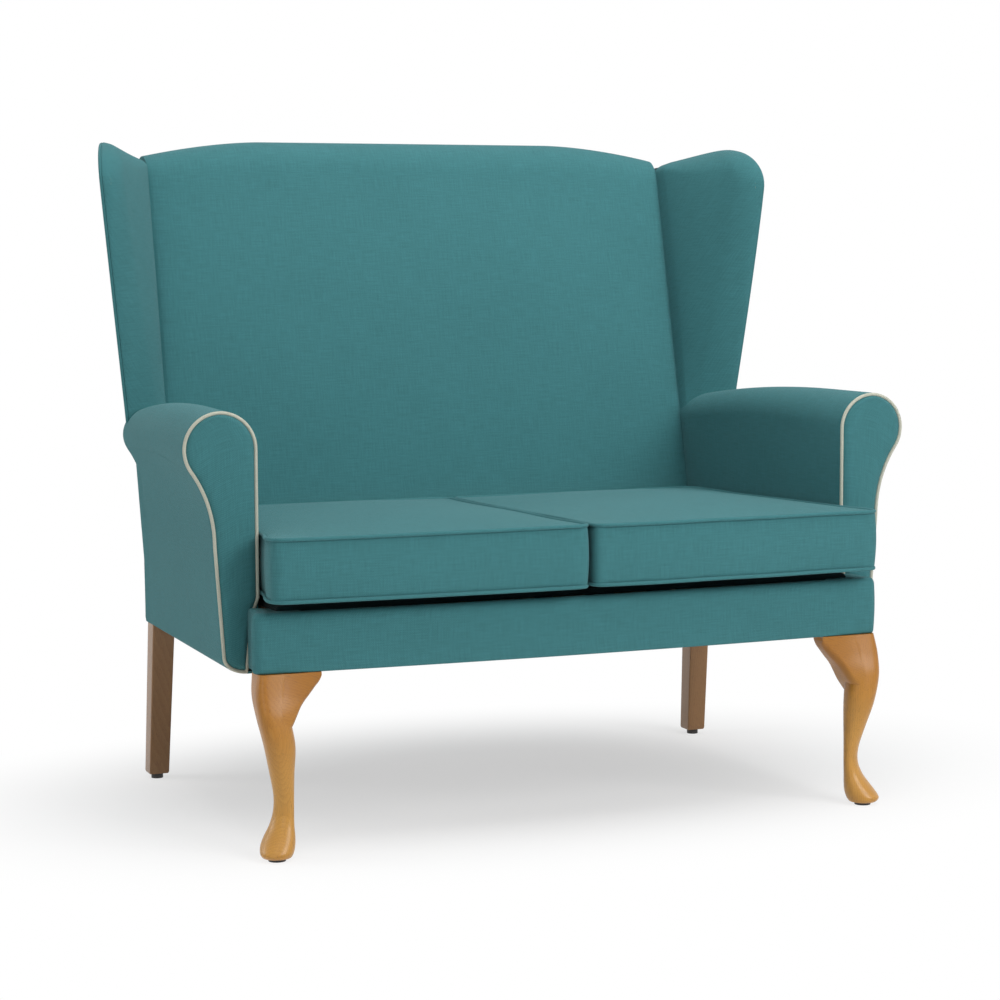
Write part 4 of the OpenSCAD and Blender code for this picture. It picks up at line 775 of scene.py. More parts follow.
def arm_profile(y, d, tack=None):
    """Outer line of an arm at one station, as (x, z) rows in three parts: a Bezier curve from the tack line
    into the hollow neck, a straight line down, and a quarter oval under the rail."""
    s = float(arm_share(y))
    close_x = POST_OUT + COVER
    a = np.array(on_arc(y, NECK_TURN, d)) if tack is None else np.array(tack)
    e = np.array([lerp(NECK_X, close_x, s) - d, lerp(NECK_H, NECK_H - NECK_FALL, s)])
    reach = (a[1] - e[1]) * NECK_PULL
    b = a + reach * np.array([math.sin(NECK_TURN), -math.cos(NECK_TURN)])
    neck = bezier(a, b, e + [0, reach], e, np.linspace(0, 1, 22))
    fx, fz = lerp(FOOT_X, close_x, s), lerp(FOOT_H, ARM_BASE + 6, s)
    q = np.linspace(0, math.pi / 2, 10)
    curl = stack(fx - d - (fx - TIP_X - d) * (1 - np.cos(q)), fz - (fz - ARM_BASE - d) * np.sin(q))
    mid = resample(np.stack([e, curl[0]]), 16)[1:-1]
    return neck, mid, curl


def outside_arm_rings():
    """Outside arm: a thin panel from the tack line under the scroll, down the neck and round the rail."""
    rings = []
    for y in np.concatenate([[ARM_FRONT - 0.2, ARM_FRONT + 2], np.linspace(ARM_FRONT + 6, ARM_END, 50),
                             np.linspace(ARM_END + 6, ARM_CLOSE + 30, 14)]):
        shut = min(1.0, max(0.0, (y - ARM_END) / (ARM_CLOSE - ARM_END)))
        out = []
        for d in (-0.3, COVER):
            close_x = POST_OUT + COVER - d
            a = lerp(np.array(on_arc(y, NECK_TURN, d)), np.array([close_x, TACK_Z]), shut)
            neck, mid, curl = arm_profile(y, d, a)
            neck[:, 0] = np.maximum(neck[:, 0], close_x + 0.1)
            line = np.concatenate([neck, mid, curl, [[SIDE_OUT - POST_LAP, ARM_BASE + max(d, 0)]]])
            tight = 1.2 * (1 - float(rounded((y - ARM_FRONT) / 7))) if d < 0 else 0
            out.append(stack(line[:, 0] - tight, y, line[:, 1]))
        limit = post_back(out[0][:, 2]) - 3.0 * (out[0][:, 2] < LEG_H)
        for line in out:
            line[:, 1] = np.minimum(line[:, 1], limit)
        rings.append(np.concatenate([out[0], out[1][::-1]]))
    return np.array(rings)


def facing_edge(d, count=90):
    """Outline of the facing as two halves from the bottom tip to the top of the scroll, drawn in by d."""
    neck, mid, curl = arm_profile(ARM_FRONT, d)
    scroll = stack(*on_arc(ARM_FRONT, np.linspace(math.pi, NECK_TURN, 60), d))
    top = int(np.argmax(scroll[:, 1]))
    tip = [[TIP_X + d, ARM_BASE + d]]
    seat_end = [[SIDE_OUT + 1 + d, RAIL_TOP + 0.4], [IN_FRONT + d, BORDER_TOP + 14]]
    inner = np.concatenate([tip, seat_end, scroll[: top + 1]])
    outer = np.concatenate([tip, curl[::-1], mid[::-1], neck[::-1], scroll[top:][::-1]])
    return resample(inner, count), resample(outer, count)


def facing_rings():
    """Facing panel: rows from the tip to the top of the scroll, domed in front and flat behind."""
    inner, outer = (half[1:-1] for half in facing_edge(2 * CORD - 0.9))
    s = eased(26)[None, :]
    across = lerp(inner[:, None], outer[:, None], s[..., None])
    width = np.linalg.norm(outer - inner, axis=-1)[:, None]
    row = np.arange(len(inner))
    end = np.minimum(row, row[::-1])[:, None] / 5
    dome = rounded(np.minimum(s, 1 - s) * width / 12) * rounded(end + 0.15)
    front = stack(across[..., 0], ARM_FRONT - (FACING_PAD - 1.4 + 1.4 * hump(s)) * dome, across[..., 1])
    rear = stack(across[..., 0], ARM_FRONT - 0.3, across[..., 1])
    return np.concatenate([front, rear[:, ::-1]], axis=1)


def facing_cord():
    """Path of the contrast piping round the facing."""
    inner, outer = facing_edge(CORD)
    line = np.concatenate([inner, outer[::-1][1:-1]])
    return stack(line[:, 0], ARM_FRONT - CORD + 0.4, line[:, 1])


for side, turned in SIDES:
    arm = shell("inside_arm_cover_" + side, turned(inside_arm_curves()), 5 if side == "right" else -5)
    dress(arm, TEAL, nodes=["inside_arm_" + side])
    cover("outside_arm_cover_" + side, turned(outside_arm_rings()), "outside_arm_" + side)
    cover("facing_panel_" + side, turned(facing_rings()), "arm_facing_" + side)
    cord = tube("facing_cord_" + side, turned(facing_cord()), CORD, 12, True, (0, 1, 0))
    dress(cord, CREAM_CORD, nodes=["facing_piping_" + side])


# Wings
WING_TILT = math.atan(math.tan(RAKE) * math.sin(FLARE))
WING_NORMAL = np.array([math.cos(FLARE) * math.cos(WING_TILT), math.sin(FLARE) * math.cos(WING_TILT),
                        -math.sin(WING_TILT)])
WING_IN = BACK_EDGE + 0.6
WING_REAR_Y = float(post_back(WING_BACK_Z))
WING_PAD_FRONT, WING_BELLY, WING_NOSE = 21.5, 9.0, 44.0
WING_ROUND, WING_CROWN = 24.0, 20.0


def wing_x(y, z):
    """Outer plane of a wing: from the post's outer face outwards by the flare, and back with the rake."""
    return POST_OUT + (post_back(z) - y) * math.tan(FLARE)


def wing_edge(z):
    """Front edge of a wing: leaning back towards the arm, with a rounded corner at the top."""
    lean = np.clip((WING_H - WING_CORNER - z) / (WING_H - WING_CORNER - WING_FOOT), 0, 1) ** 1.3
    rise = np.clip((z - (WING_H - WING_CORNER)) / WING_CORNER, 0, 1)
    turn = (WING_PEAK - WING_FRONT) * (1 - np.sqrt(1 - rise ** 2))
    return WING_FRONT + WING_LEAN * lean + turn


def wing_top(y):
    """Top edge of a wing: highest behind its corner, then falling with a power of the way to its post."""
    fall = WING_FALL * (np.maximum(0, y - WING_PEAK) / (WING_REAR_Y - WING_PEAK)) ** 1.5
    ahead = np.clip((WING_PEAK - y) / (WING_PEAK - WING_FRONT), 0, 1)
    return WING_H - np.where(y > WING_PEAK, fall, WING_CORNER * (1 - np.sqrt(1 - ahead ** 2)))


def wing_column_top(start, a):
    """Top of the column at the share a from the line start(z) to the front edge, by repeated substitution."""
    z = WING_H
    for _ in range(30):
        z = lerp(z, float(wing_top(lerp(start(z), wing_edge(z), a))), 0.6)
    return z


def flat_face(y, z, top, soft=WING_ROUND):
    """Inner face of a wing beside the back: upright at WING_IN, and rounded over to the board at its top."""
    return stack(lerp(wing_x(y, z), WING_IN, rounded((top - z) / soft) * 0.985 + 0.015), y, z)


def padded_face(y, z, top, a):
    """Inner face of a wing before the back, at the share a from the crease to the front edge: as thick as the
    crease is deep, less towards the front, with a belly, and rounded at the front and the top."""
    crease = wing_x(crease_y(z), z) - WING_IN
    length = (crease_y(z) - wing_edge(z)) / math.cos(FLARE)
    flat = lerp(crease * math.cos(FLARE), WING_PAD_FRONT, a ** 0.85)
    belly = WING_BELLY * hump(a ** 0.7) * hump(np.clip((z - WING_LOW) / (top - WING_LOW), 0, 1)) ** 0.5
    front = rounded(length * (1 - a) / WING_NOSE)
    crown = rounded((top - z) / (WING_ROUND + WING_CROWN * hump(a)))
    depth = np.maximum((flat + belly) * front * (0.04 + 0.96 * crown), 0.02)
    return stack(wing_x(y, z), y, z) - WING_NORMAL * depth[:, None]


def wing_pad_rings():
    """Inside of a wing: upright loops from the back of the post to the front edge. They cap the post, then
    carry the padding."""
    up = np.linspace(0, 0.82, 40, endpoint=False), 1 - 0.18 * (1 - np.linspace(0, 1, 30)) ** 2
    up = np.concatenate(up)
    down = np.linspace(1, 0, 12)

    def loop(low, top, line, face, *shape):
        z, back = lerp(low, top, up), lerp(low, top, down)
        board = stack(wing_x(line(back), back) - 0.3, line(back), back)
        return np.concatenate([face(line(z), z, top, *shape), board[1:]])

    rings = []
    for s in np.linspace(0, 1, 9):
        top = float(wing_top(lerp(WING_REAR_Y, post_front(WING_BACK_Z), s)))
        rings.append(loop(POST_TOP + 0.4, top, lambda z: lerp(post_back(z), post_front(z), s) - 0.4,
                          flat_face, lerp(0.8, 12, s)))
    for s in np.linspace(0, 1, 6)[:-1]:
        top = float(wing_top(lerp(post_front(WING_BACK_Z), crease_y(WING_BACK_Z), s)))
        rings.append(loop(WING_LOW, top, lambda z: lerp(post_front(z) - 0.6, crease_y(z), s), flat_face))
    shares = np.linspace(0, 0.72, 26), 0.72 + 0.28 * np.sin(np.linspace(0, math.pi / 2, 26))[1:]
    for a in np.concatenate(shares):
        top = wing_column_top(crease_y, a)
        rings.append(loop(WING_LOW, top, lambda z: lerp(crease_y(z), wing_edge(z), a), padded_face, a))
    return np.array(rings)


def wing_cover_rings(cols=40, rows=60):
    """Outside of a wing: a thin panel on the board's outer face, its edges turned in behind the piping."""
    rings = []
    gap = 2 * PIPE + 0.6
    for a in eased(cols):
        top = wing_column_top(post_back, a) - gap
        z = lerp(TACK_Z, top, eased(rows))
        front = np.where(z < WING_FOOT, WING_FRONT + WING_LEAN, wing_edge(z)) + gap
        y = lerp(post_back(z), front, a)
        edge = np.minimum(rounded((post_back(z) - front) * (1 - a) / 5), rounded((top - z) / 5))
        puff = 1.6 * hump(a) * hump((z - TACK_Z) / (top - TACK_Z))
        plane = stack(wing_x(y, z), y, z)
        outer = plane + WING_NORMAL * (0.3 + (COVER + puff) * edge)[:, None]
        rings.append(np.concatenate([outer, (plane + WING_NORMAL * 0.15)[::-1]]))
    return np.array(rings)


def wing_cord():
    """Path of the piping: up the front edge of a wing, round its corner and back to the post."""
    z = np.linspace(WING_FOOT - 30, WING_H - WING_CORNER, 60, endpoint=False)
    edge = stack(wing_edge(z) + PIPE, z)
    q = np.linspace(0, math.pi / 2, 40)
    corner = stack(WING_PEAK - (WING_PEAK - WING_FRONT - PIPE) * np.cos(q),
                   WING_H - WING_CORNER + (WING_CORNER - PIPE) * np.sin(q))
    y = np.linspace(WING_PEAK, WING_REAR_Y - PIPE, 26)[1:]
    line = np.concatenate([edge, corner, stack(y, wing_top(y) - PIPE)])
    return stack(wing_x(line[:, 0], line[:, 1]), line[:, 0], line[:, 1]) + WING_NORMAL * (PIPE - 0.6)


for side, turned in SIDES:
    cover("wing_pad_" + side, turned(wing_pad_rings()), "inside_wing_" + side)
    cover("wing_cover_" + side, turned(wing_cover_rings()), "outside_wing_" + side)
    cord = tube("wing_cord_" + side, turned(wing_cord()), PIPE, 10, False, turned(WING_NORMAL))
    dress(cord, TEAL_CORD, nodes=["wing_piping_" + side])


# Border, platform and bottom cloth
BOW_HALF = HALF_W - BORDER_R
TOP_ROLL, LOW_ROLL = 9.0, 3.5
RETURN_IN, RETURN_THIN, RETURN_LEN = 9.0, 0.62, 15.0
LIP, CORNER_LIP, CORNER_X = 12.0, 34.0, 440.0


def border_rings(cols=120):
    """Border: a padded strip carried round the bowed front and the corners, its top and bottom edges rolled
    over by quarter circles. Past the corners it thins and lies close to the leg blocks."""
    x = np.linspace(0, BOW_HALF, cols // 2)
    q = np.linspace(0, math.pi / 2, 13)[1:]
    y_end = np.linspace(BORDER_R, FACING - 0.3, 24)[1:]
    settle = np.clip((y_end - BORDER_R) / RETURN_LEN, 0, 1)
    settle = settle * settle * (3 - 2 * settle)
    right = np.concatenate([
        stack(x, -BOW * (1 - (x / BOW_HALF) ** 2), 0, 1),
        stack(BOW_HALF + BORDER_R * np.sin(q), BORDER_R - BORDER_R * np.cos(q), q, 1),
        stack(HALF_W - RETURN_IN * settle, y_end, math.pi / 2, 1 - RETURN_THIN * settle),
    ])
    path = np.concatenate([(right * [-1, 1, -1, 1])[:0:-1], right])
    px, py, turn, thin = (path[:, k:k + 1] for k in range(4))
    t = np.linspace(0, math.pi / 2, 9)
    h = np.linspace(LEG_H + 4, BORDER_TOP - TOP_ROLL, 14)
    low = stack(LOW_ROLL * (1 - np.sin(t)), LEG_H + LOW_ROLL * (1 - np.cos(t)))
    high = stack(TOP_ROLL * (1 - np.cos(t)), BORDER_TOP - TOP_ROLL + TOP_ROLL * np.sin(t))
    front = np.concatenate([low, stack(-1.5 * hump((h - LEG_H) / BORDER_H), h)[1:], high[1:]])
    depth = BORDER_R - 0.3
    lip = depth * thin + np.where(np.abs(px) > CORNER_X, CORNER_LIP, LIP)
    inner = ((depth * thin, BORDER_TOP), (lip, BORDER_TOP - 2.5), (lip, RAIL_TOP + 0.3),
             (depth * thin, RAIL_TOP + 0.3), (depth * thin, LEG_H))
    off = np.concatenate([front[:, 0] * thin] + [reach for reach, _ in inner], axis=1)
    tall = np.concatenate([front[:, 1], [level for _, level in inner]])[None, :] + 0 * thin
    off = off - 0.35 * ripple(stack(px, py, tall), 90, 12) * (off < 1)
    return stack(px - off * np.sin(turn), py + off * np.cos(turn), tall)


def platform_rings(cols=60, rows=48):
    """Platform: a flat soft slab from the border to the back, rounded off at its edges."""
    half, soft, top, bottom = IN_REAR - 0.8, 4.0, DECK_TOP - 1.2, RAIL_TOP + 5
    x = lerp(-half, half, eased(cols))[:, None]
    y = lerp(BORDER_R + 12.4, back_face(x, DECK_TOP) - 1, eased(rows)[None, :])
    edge = np.minimum(half - np.abs(x), np.minimum(y - y[:, :1], y[:, -1:] - y))
    top = top + 0.5 * ripple(stack(x, y, 0), 150, 4)
    upper = stack(x, y, lerp(bottom, top, rounded(edge / soft + 0.02)))
    return np.concatenate([upper, stack(x, y, bottom)[:, ::-1]], axis=1)


cover("border_cover", border_rings(), "front_border")
dress(loft("platform_cover", platform_rings()), DECK, nodes=["seat_platform"])
SHEET_HALF, SHEET_FRONT, SHEET_REAR = SIDE_OUT - 25.6, BORDER_R + 13, FRAME_D + POST_D / 2
SHEET_T, SAG, TACK_STEP, TACK_FADE = 0.7, 4.0, 42.0, 30.0


def bottom_sheet_rings(cols=70, rows=50):
    """Bottoming cloth: a thin sheet tacked under the rails, cut round the legs, sagging a little by half sine
    waves and pulled to its tacks at the edges."""
    half, front, rear = SHEET_HALF, SHEET_FRONT, SHEET_REAR
    x = np.linspace(-half, half, cols)[:, None]
    y = np.linspace(front, rear, rows)[None, :]
    at_block = np.clip(np.abs(x) - (BLOCK_OUT - BLOCK - 14), 0, 1)
    at_post = np.clip(np.abs(x) - (POST_IN - 4), 0, 1)
    y = lerp(lerp(front, BORDER_R + BLOCK + 3, at_block), lerp(rear, FRAME_D - 3, at_post),
             (y - front) / (rear - front))
    sag = SAG * hump((x + half) / (2 * half)) * hump((y - front) / (rear - front))
    tacks = 0.5 * np.abs(hump(x / TACK_STEP)) * np.exp(-(y - front) / TACK_FADE)
    upper = stack(x, y, LEG_H + 1.2 - sag - tacks)
    return np.concatenate([upper, upper[:, ::-1] - [0, 0, SHEET_T]], axis=1)


sheet = dress(loft("bottom_sheet", bottom_sheet_rings()), LINING, nodes=["bottom_cloth"])


# Seat cushions
CUSHION_IN = 1.5 + PIPE
EAR_OUT = IN_FRONT + 14 - PIPE
EAR_REAR = FACING - 3 - PIPE
CORNER_R, SPLIT_R = 15.0, 10.0
BAND_BULGE, TOP_DOME, LOW_DOME, SEAM_EASE = 3.0, 9.0, 5.0, 2.0
ZIP_INSET, TAPE_HALF, TEETH_HALF, TOOTH = 44.0, 7.0, 2.2, 1.4


def side_at(y):
    """Piped side of a cushion beside the arm."""
    return arm_in(y) - 2.5 - PIPE


def cushion_rear(x, z):
    """Back seam of a cushion: the face of the back less a small gap and the piping."""
    return back_face(x, z) - 3 - PIPE


def arc(cx, cy, r, a, b, n=9):
    """Points on a circle from the angle a to b, in degrees."""
    q = np.radians(np.linspace(a, b, n))
    return stack(cx + r * np.cos(q), cy + r * np.sin(q))


def cushion_outline(step=8.0):
    """Seam line of a cushion in plan as four sides between its corners: front, outer side with its ear, back
    and inner side."""
    r, small = CORNER_R, SPLIT_R
    rear_side = float(cushion_rear(side_at(FRAME_D), CUSHION_LOW))
    rear_in = float(cushion_rear(CUSHION_IN, CUSHION_LOW))
    s0, s1 = float(side_at(0)), float(side_at(FRAME_D))

    def front(x):
        return -CUSHION_OVER - CUSHION_BOW * (1 - (x / EAR_OUT) ** 2)

    ear = EAR_OUT - r, float(front(EAR_OUT)) + r, r
    inner_rear, outer_rear = (CUSHION_IN + r, rear_in - r, r), (s1 - r, rear_side - r, r)
    x = np.linspace(CUSHION_IN + small, EAR_OUT - r, 40)
    low_in = arc(CUSHION_IN + small, front(CUSHION_IN) + small, small, 225, 270, 5)
    side_a = np.concatenate([low_in, stack(x, front(x))[1:-1], arc(*ear, -88, -45, 6)])
    y = np.linspace(EAR_REAR + 8, rear_side - r, 30)
    along = (y - y[0]) / (y[-1] - y[0])
    taper = bezier(*np.array([[EAR_OUT, -12], [EAR_OUT, 14], [s0 + 3, EAR_REAR - 22], [s0, EAR_REAR + 8]]),
                   np.linspace(0, 1, 12)[:-1])
    side_b = np.concatenate([arc(*ear, -45, 0, 6), taper, stack(lerp(s0, s1, along) - 4 * hump(along), y),
                             arc(*outer_rear, 0, 45, 6)])
    x = np.linspace(CUSHION_IN + r, s1 - r, 40)[1:-1]
    side_c = np.concatenate([arc(*inner_rear, 135, 90, 6), stack(x, cushion_rear(x, CUSHION_LOW)),
                             arc(*outer_rear, 90, 45, 6)])
    side_d = np.concatenate([low_in[:1], [[CUSHION_IN, front(CUSHION_IN) + small]],
                             stack(CUSHION_IN + 1.0, np.linspace(40, rear_in - 60, 20)),
                             [[CUSHION_IN, rear_in - r]], arc(*inner_rear, 180, 135, 6)])
    cols, rows = int(EAR_OUT / step), int((rear_in + 45) / step)
    sides = side_a, side_b, side_c, side_d
    return [resample(side, count + 1) for side, count in zip(sides, (cols, rows) * 2)]


def cushion_grid():
    """Plan grid of a cushion: a Coons patch, which is the sum of the blends between opposite sides less the
    blend of the corners."""
    c0, d1, c1, d0 = cushion_outline()
    s = np.linspace(0, 1, len(c0))[None, :, None]
    t = np.linspace(0, 1, len(d0))[:, None, None]
    sides = lerp(c0[None], c1[None], t) + lerp(d0[:, None], d1[:, None], s)
    corners = lerp(lerp(c0[0], c0[-1], s), lerp(c1[0], c1[-1], s), t)
    return sides - corners


def rim_index(rows, cols):
    """Grid numbers round the rim of a grid, once round."""
    k = np.arange(rows * cols).reshape(rows, cols)
    return np.concatenate([k[0, :-1], k[:-1, -1], k[-1, :0:-1], k[:0:-1, 0]])


def cushion_top(y):
    """Height of a cushion's top seam, which falls to the back."""
    return SEAT_H - CUSHION_FALL * np.clip((y + CUSHION_OVER) / 600, 0, 1)


def cushion_mesh(shrink=0.6, levels=11):
    """Boxed cushion: a top and a bottom grid, domed by powers of half sine waves, joined by upright bands
    round the rim; uv follows each panel's cut."""
    plan = cushion_grid()
    rows, cols = plan.shape[:2]
    centre = plan.reshape(-1, 2).mean(axis=0)
    inward = plan - centre
    plan = plan - inward / np.maximum(np.linalg.norm(inward, axis=-1, keepdims=True), 1) * shrink
    x, y = plan[..., 0], plan[..., 1]
    dome = (hump(np.linspace(0, 1, cols)[None, :]) * hump(np.linspace(0, 1, rows)[:, None])) ** 0.6
    top = stack(x, y, cushion_top(y) - SEAM_EASE + TOP_DOME * dome).reshape(-1, 3)
    low = stack(x, y, CUSHION_LOW + SEAM_EASE - LOW_DOME * dome ** 0.7).reshape(-1, 3)
    rim = rim_index(rows, cols)
    n, size = len(rim), rows * cols
    a = low[rim]
    w = np.linspace(0, 1, levels)[1:-1, None, None]
    band = lerp(a[None], top[rim][None], w)
    normal = a[:, :2] - centre
    normal /= np.linalg.norm(normal, axis=-1, keepdims=True)
    band[..., :2] += normal[None] * BAND_BULGE * hump(w)
    points = np.concatenate([low, top, band.reshape(-1, 3)])
    quads = grid_quads(rows, cols, False)
    between = (2 * size + np.arange((levels - 2) * n)).reshape(levels - 2, n)
    rings = np.concatenate([rim[None], between, size + rim[None]])
    turned = np.roll(rings, -1, axis=1)
    side = np.stack([rings[:-1], turned[:-1], turned[1:], rings[1:]], axis=-1)
    length = np.concatenate([[0], np.cumsum(np.linalg.norm(np.roll(a, -1, axis=0) - a, axis=-1))]) / 1000
    u0, u1 = length[None, :-1], length[None, 1:]
    h = np.linspace(0, BOX / 1000, levels)[:, None]
    side_uv = np.stack([stack(u0, h[:-1]), stack(u1, h[:-1]), stack(u1, h[1:]), stack(u0, h[1:])], axis=2)
    flat = plan.reshape(-1, 2) / 1000
    uv = np.concatenate([part.reshape(-1, 2) for part in (flat[quads[:, ::-1]], flat[quads], side_uv)])
    faces = np.concatenate([quads[:, ::-1], quads + size, side.reshape(-1, 4)])
    return points, faces, uv, rim, size + rim


def stuff(obj, seams, pressure, cap, frames=20):
    """Fills a cushion by cloth pressure with gravity off. Its piped seams hold their line, and no point moves
    further than cap millimetres from its start."""
    mesh = obj.data
    start = np.empty(len(mesh.vertices) * 3)
    mesh.vertices.foreach_get("co", start)
    start = start.reshape(-1, 3)
    cloth_mod = obj.modifiers.new("stuffing", "CLOTH")
    settings = cloth_mod.settings
    settings.quality = 5
    settings.mass = 0.25
    settings.tension_stiffness = 18
    settings.compression_stiffness = 14
    settings.shear_stiffness = 6
    settings.bending_stiffness = 1.5
    held = obj.vertex_groups.new(name="seams")
    held.add([int(k) for k in seams], 1.0, "REPLACE")
    settings.vertex_group_mass = held.name
    settings.use_pressure = True
    settings.uniform_pressure_force = pressure
    settings.effector_weights.gravity = 0
    cloth_mod.collision_settings.use_collision = False
    scene = bpy.context.scene
    cloth_mod.point_cache.frame_start, cloth_mod.point_cache.frame_end = 1, frames
    for number in range(1, frames + 1):
        scene.frame_set(number)
    evaluated = obj.evaluated_get(bpy.context.evaluated_depsgraph_get())
    moved = np.empty(len(mesh.vertices) * 3)
    evaluated.data.vertices.foreach_get("co", moved)
    obj.modifiers.remove(cloth_mod)
    scene.frame_set(1)
    shift = moved.reshape(-1, 3) - start
    length = np.linalg.norm(shift, axis=-1, keepdims=True) * 1000
    return start + shift * np.minimum(1, cap / np.maximum(length, 1e-6))


def seat_on(points):
    """Keeps a cushion off its neighbours: above the platform, inside the arms, before the back and off the
    middle."""
    p = points * 1000 + [0, MID_Y, 0]
    side = np.sign(p[:, 0].mean())
    x, y, z = np.abs(p[:, 0]), p[:, 1], p[:, 2]
    z = np.maximum(z, DECK_TOP + 0.8)
    y = np.minimum(y, back_face(x, z) - 1.5)
    inner = np.where(y > FACING - 4, arm_in(y) - 1.2 - 1.5 * (y < ARM_FRONT + 20), EAR_OUT + 3)
    x = np.clip(x, 1.2, inner)
    behind_ear = (x > IN_FRONT - 2) & (y > EAR_REAR - 20) & (y < EAR_REAR + 30)
    y = np.where(behind_ear, np.minimum(y, FACING - 2.5), y)
    return in_frame(stack(side * x, y, z))


def cushion_cord(settled, lift):
    """Path of a cushion's piping: its seam, evened out, moved outwards and by lift up or down."""
    line = settled * 1000 + [0, MID_Y, 0]
    for _ in range(3):
        line = (np.roll(line, 1, axis=0) + 2 * line + np.roll(line, -1, axis=0)) / 4
    out = line[:, :2] - line[:, :2].mean(axis=0)
    tangent = np.roll(line, -1, axis=0) - np.roll(line, 1, axis=0)
    normal = np.stack([tangent[:, 1], -tangent[:, 0]], axis=-1)
    normal /= np.linalg.norm(normal, axis=-1, keepdims=True)
    normal *= np.sign(np.sum(normal * out, axis=-1).mean())
    line[:, :2] += normal * 1.2
    line[:, 2] += lift
    return line


def make_cushion(side, turned, seed):
    """One seat cushion: cut, stuffed, set in place, subdivided once, and piped along its two seams."""
    points, faces, uv, low_rim, top_rim = cushion_mesh()
    points[:, 2] += 0.8 * ripple(points, 230, seed)
    points = in_frame(turned(points))
    mesh = bpy.data.meshes.new("cushion_cover_" + side)
    if side == "left":
        faces = faces[:, ::-1]
        uv = uv.reshape(-1, 4, 2)[:, ::-1].reshape(-1, 2)
    mesh.from_pydata(points, [], faces.tolist())
    layer = mesh.uv_layers.new(name="cloth")
    layer.data.foreach_set("uv", uv.astype(np.float32).ravel())
    obj = add_object("cushion_cover_" + side, mesh)
    seams = np.concatenate([low_rim, top_rim])
    settled = seat_on(stuff(obj, seams, pressure=4.0, cap=12.0))
    mesh.vertices.foreach_set("co", settled.ravel())
    mesh.shade_smooth()
    mesh.update()
    soft = obj.modifiers.new("soft", "SUBSURF")
    soft.levels = soft.render_levels = 1
    dress(obj, TEAL, "cushion_" + side, ["seat_cushion_" + side])
    for name, rim, lift in (("top", top_rim, -0.6), ("low", low_rim, 0.6)):
        path = cushion_cord(settled[rim], lift)
        cord = tube("cushion_cord_%s_%s" % (name, side), path, PIPE - 0.2, 10, True)
        dress(cord, TEAL_CORD, "cushion_" + side)


def zip_rings():
    """Zip: a narrow tape across the back of the boxing, with a ridge of teeth along its middle, which the
    sign of a sine wave cuts into steps."""
    x = np.linspace(CUSHION_IN + ZIP_INSET, float(side_at(FRAME_D)) - ZIP_INSET, 300)[:, None]
    h = np.linspace(-TAPE_HALF, TAPE_HALF, 21)[None, :]
    middle = CUSHION_LOW + (BOX - CUSHION_FALL) / 2
    teeth = 0.9 * (np.abs(h) < TEETH_HALF) * (0.55 + 0.45 * np.sign(hump(x / TOOTH)))
    seam = cushion_rear(x, middle)
    outer = stack(x, seam + 2.2 + teeth, middle + h)
    return np.concatenate([outer, stack(x, seam - 1, middle + h)[:, ::-1]], axis=1)


for side, turned in SIDES:
    make_cushion(side, turned, 21 if side == "left" else 34)
    tape = loft("cushion_zip_tape_" + side, turned(zip_rings()))
    dress(tape, LINING, "cushion_" + side, ["cushion_zip_" + side])


# Finishes of the CAD pieces that stay
FINISHES = (
    (RAW_X, "front_rail rear_rail top_rail lower_back_rail dowels corner_blocks"),
    (RAW_Y, "side_rail centre_rail arm_rail"), (RAW_Z, "back_upright arm_stump"),
    (BOARD, "arm_panel facing_board wing_board"), (GLIDE, "front_glides rear_glides"), (STEEL, "frame_bolts"),
    (JUTE, "seat_webbing cross_webbing back_webbing"), (FOAM, "cushion_foam"), (BRASS, "cushion_zip"),
    (DECK, "seat_platform"), (LINING, "bottom_cloth"), (HONEY, "front_leg"), (HONEY_IN_SHADE, "rear_leg"),
    (HONEY_EAR, "knee_block"), (CREAM_CORD, "facing_piping"),
)
FINISH = {name: material for material, names in FINISHES for name in names.split()}
for name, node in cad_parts.items():
    finish = FINISH.get(name.removesuffix("_left").removesuffix("_right"), TEAL)
    if not node.material_slots:
        node.data.materials.append(finish)
    for slot in node.material_slots:
        slot.material = finish


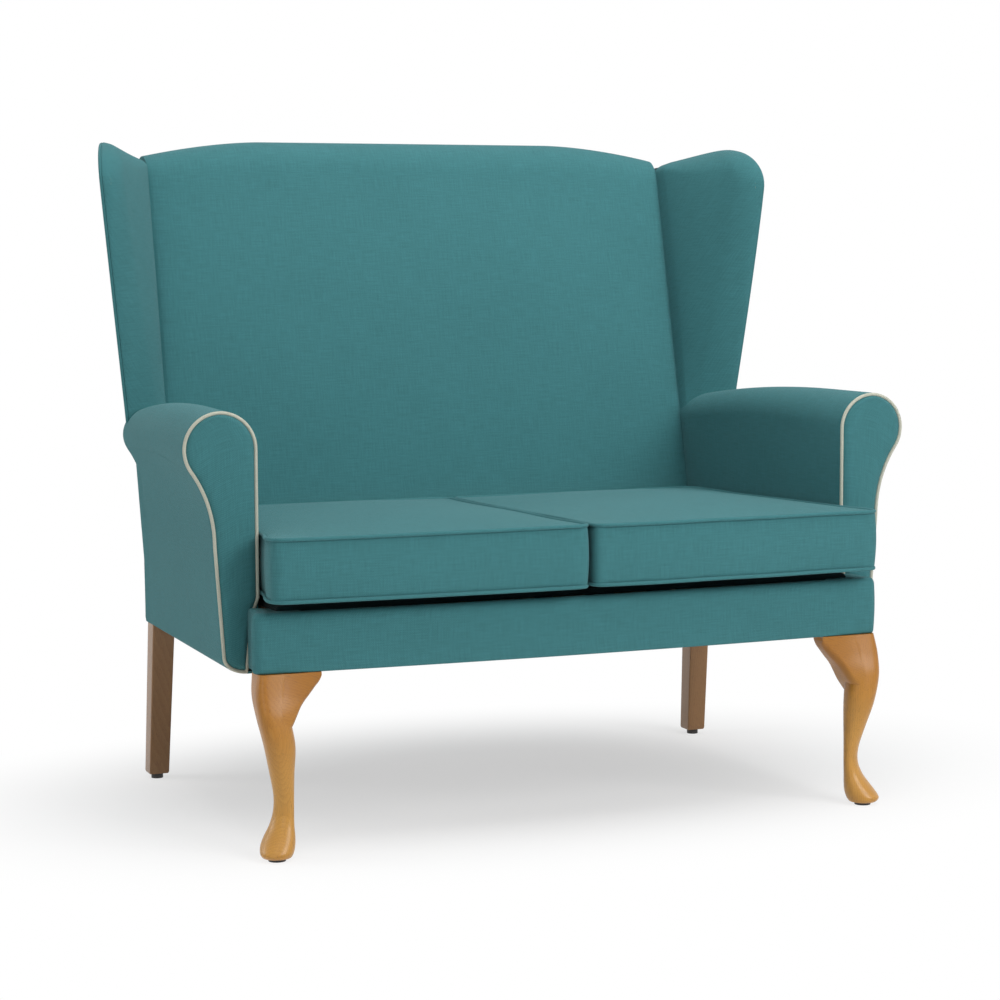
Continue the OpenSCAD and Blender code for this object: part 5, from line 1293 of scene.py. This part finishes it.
# Studio
def stage_floor(size=9.0):
    """A pale floor: a soft shadow near the settee, white where the camera sees it far off."""
    corners = [(x * size, y * size, 0) for x, y in ((-1, -1), (1, -1), (1, 1), (-1, 1))]
    mesh = bpy.data.meshes.new("studio_floor")
    mesh.from_pydata(corners, [], [(0, 1, 2, 3)])
    material, tree, shader = start_material("studio floor", Roughness=0.9, Specular_IOR_Level=0.1,
                                            Base_Color=(0.93, 0.93, 0.93, 1))
    oval = scaled(tree, object_place(tree), (0.62, 1.0, 1.0))
    reach = put(tree, "ShaderNodeVectorMath", operation="LENGTH", in_0=oval).outputs["Value"]
    light = put(tree, "ShaderNodeLightPath").outputs
    seen = calc(tree, "MAXIMUM", light["Is Camera Ray"], light["Is Glossy Ray"])
    glow = put(tree, "ShaderNodeEmission", in_Color=(1, 1, 1, 1), in_Strength=1.0).outputs[0]
    share = calc(tree, "MULTIPLY", eased_range(tree, reach, 0.22, 0.7, 0.5), seen)
    mix = put(tree, "ShaderNodeMixShader", in_0=share, in_1=shader.outputs[0], in_2=glow)
    tree.links.new(mix.outputs[0], tree.nodes["Material Output"].inputs[0])
    mesh.materials.append(material)
    add_object("studio_floor", mesh)


def studio_light(name, place, target, size, watts):
    """A soft area lamp at place, aimed at target."""
    data = bpy.data.lights.new(name, "AREA")
    data.shape = "RECTANGLE"
    data.size, data.size_y = size
    data.energy = watts
    lamp = add_object(name, data)
    lamp.location = place
    x, y, z = np.array(target) - np.array(place)
    lamp.rotation_euler = (math.atan2(math.hypot(x, y), -z), 0, math.atan2(y, x) - math.pi / 2)


stage_floor()
studio_light("key", (1.7, -3.4, 2.4), (0, 0, 0.55), (2.4, 2.0), 85)
studio_light("fill", (-2.4, -3.0, 1.8), (0, 0, 0.6), (1.6, 1.6), 11)
studio_light("side", (-3.0, 1.1, 1.4), (-0.5, 0, 0.5), (1.4, 1.4), 22)
studio_light("top", (0.1, -0.5, 3.4), (0, 0, 0.5), (3.0, 2.4), 64)

world = bpy.data.worlds.new("studio")
bpy.context.scene.world = world
world.use_nodes = True
sky = world.node_tree
for node in list(sky.nodes):
    sky.nodes.remove(node)
path = put(sky, "ShaderNodeLightPath").outputs
open_sky = put(sky, "ShaderNodeBackground", in_Color=(0.97, 0.99, 1.0, 1.0), in_Strength=0.17)
white = put(sky, "ShaderNodeBackground", in_Color=(1.0, 1.0, 1.0, 1.0), in_Strength=1.0)
seen = calc(sky, "MAXIMUM", path["Is Camera Ray"],
            calc(sky, "MAXIMUM", path["Is Glossy Ray"], path["Is Transmission Ray"]))
choice = put(sky, "ShaderNodeMixShader", in_0=seen, in_1=open_sky.outputs[0], in_2=white.outputs[0])
sky.links.new(choice.outputs[0], put(sky, "ShaderNodeOutputWorld").inputs[0])

camera_data = bpy.data.cameras.new("camera")
camera_data.sensor_width = 36.0
camera_data.lens = 91.68
camera = add_object("camera", camera_data)
camera.location = (-1.5660, (-3538.7 - MID_Y) / 1000, 0.9015)
camera.rotation_euler = (math.radians(84.262), math.radians(0.184), math.radians(-22.052))
bpy.context.scene.camera = camera
bpy.context.scene.view_settings.view_transform = "Standard"
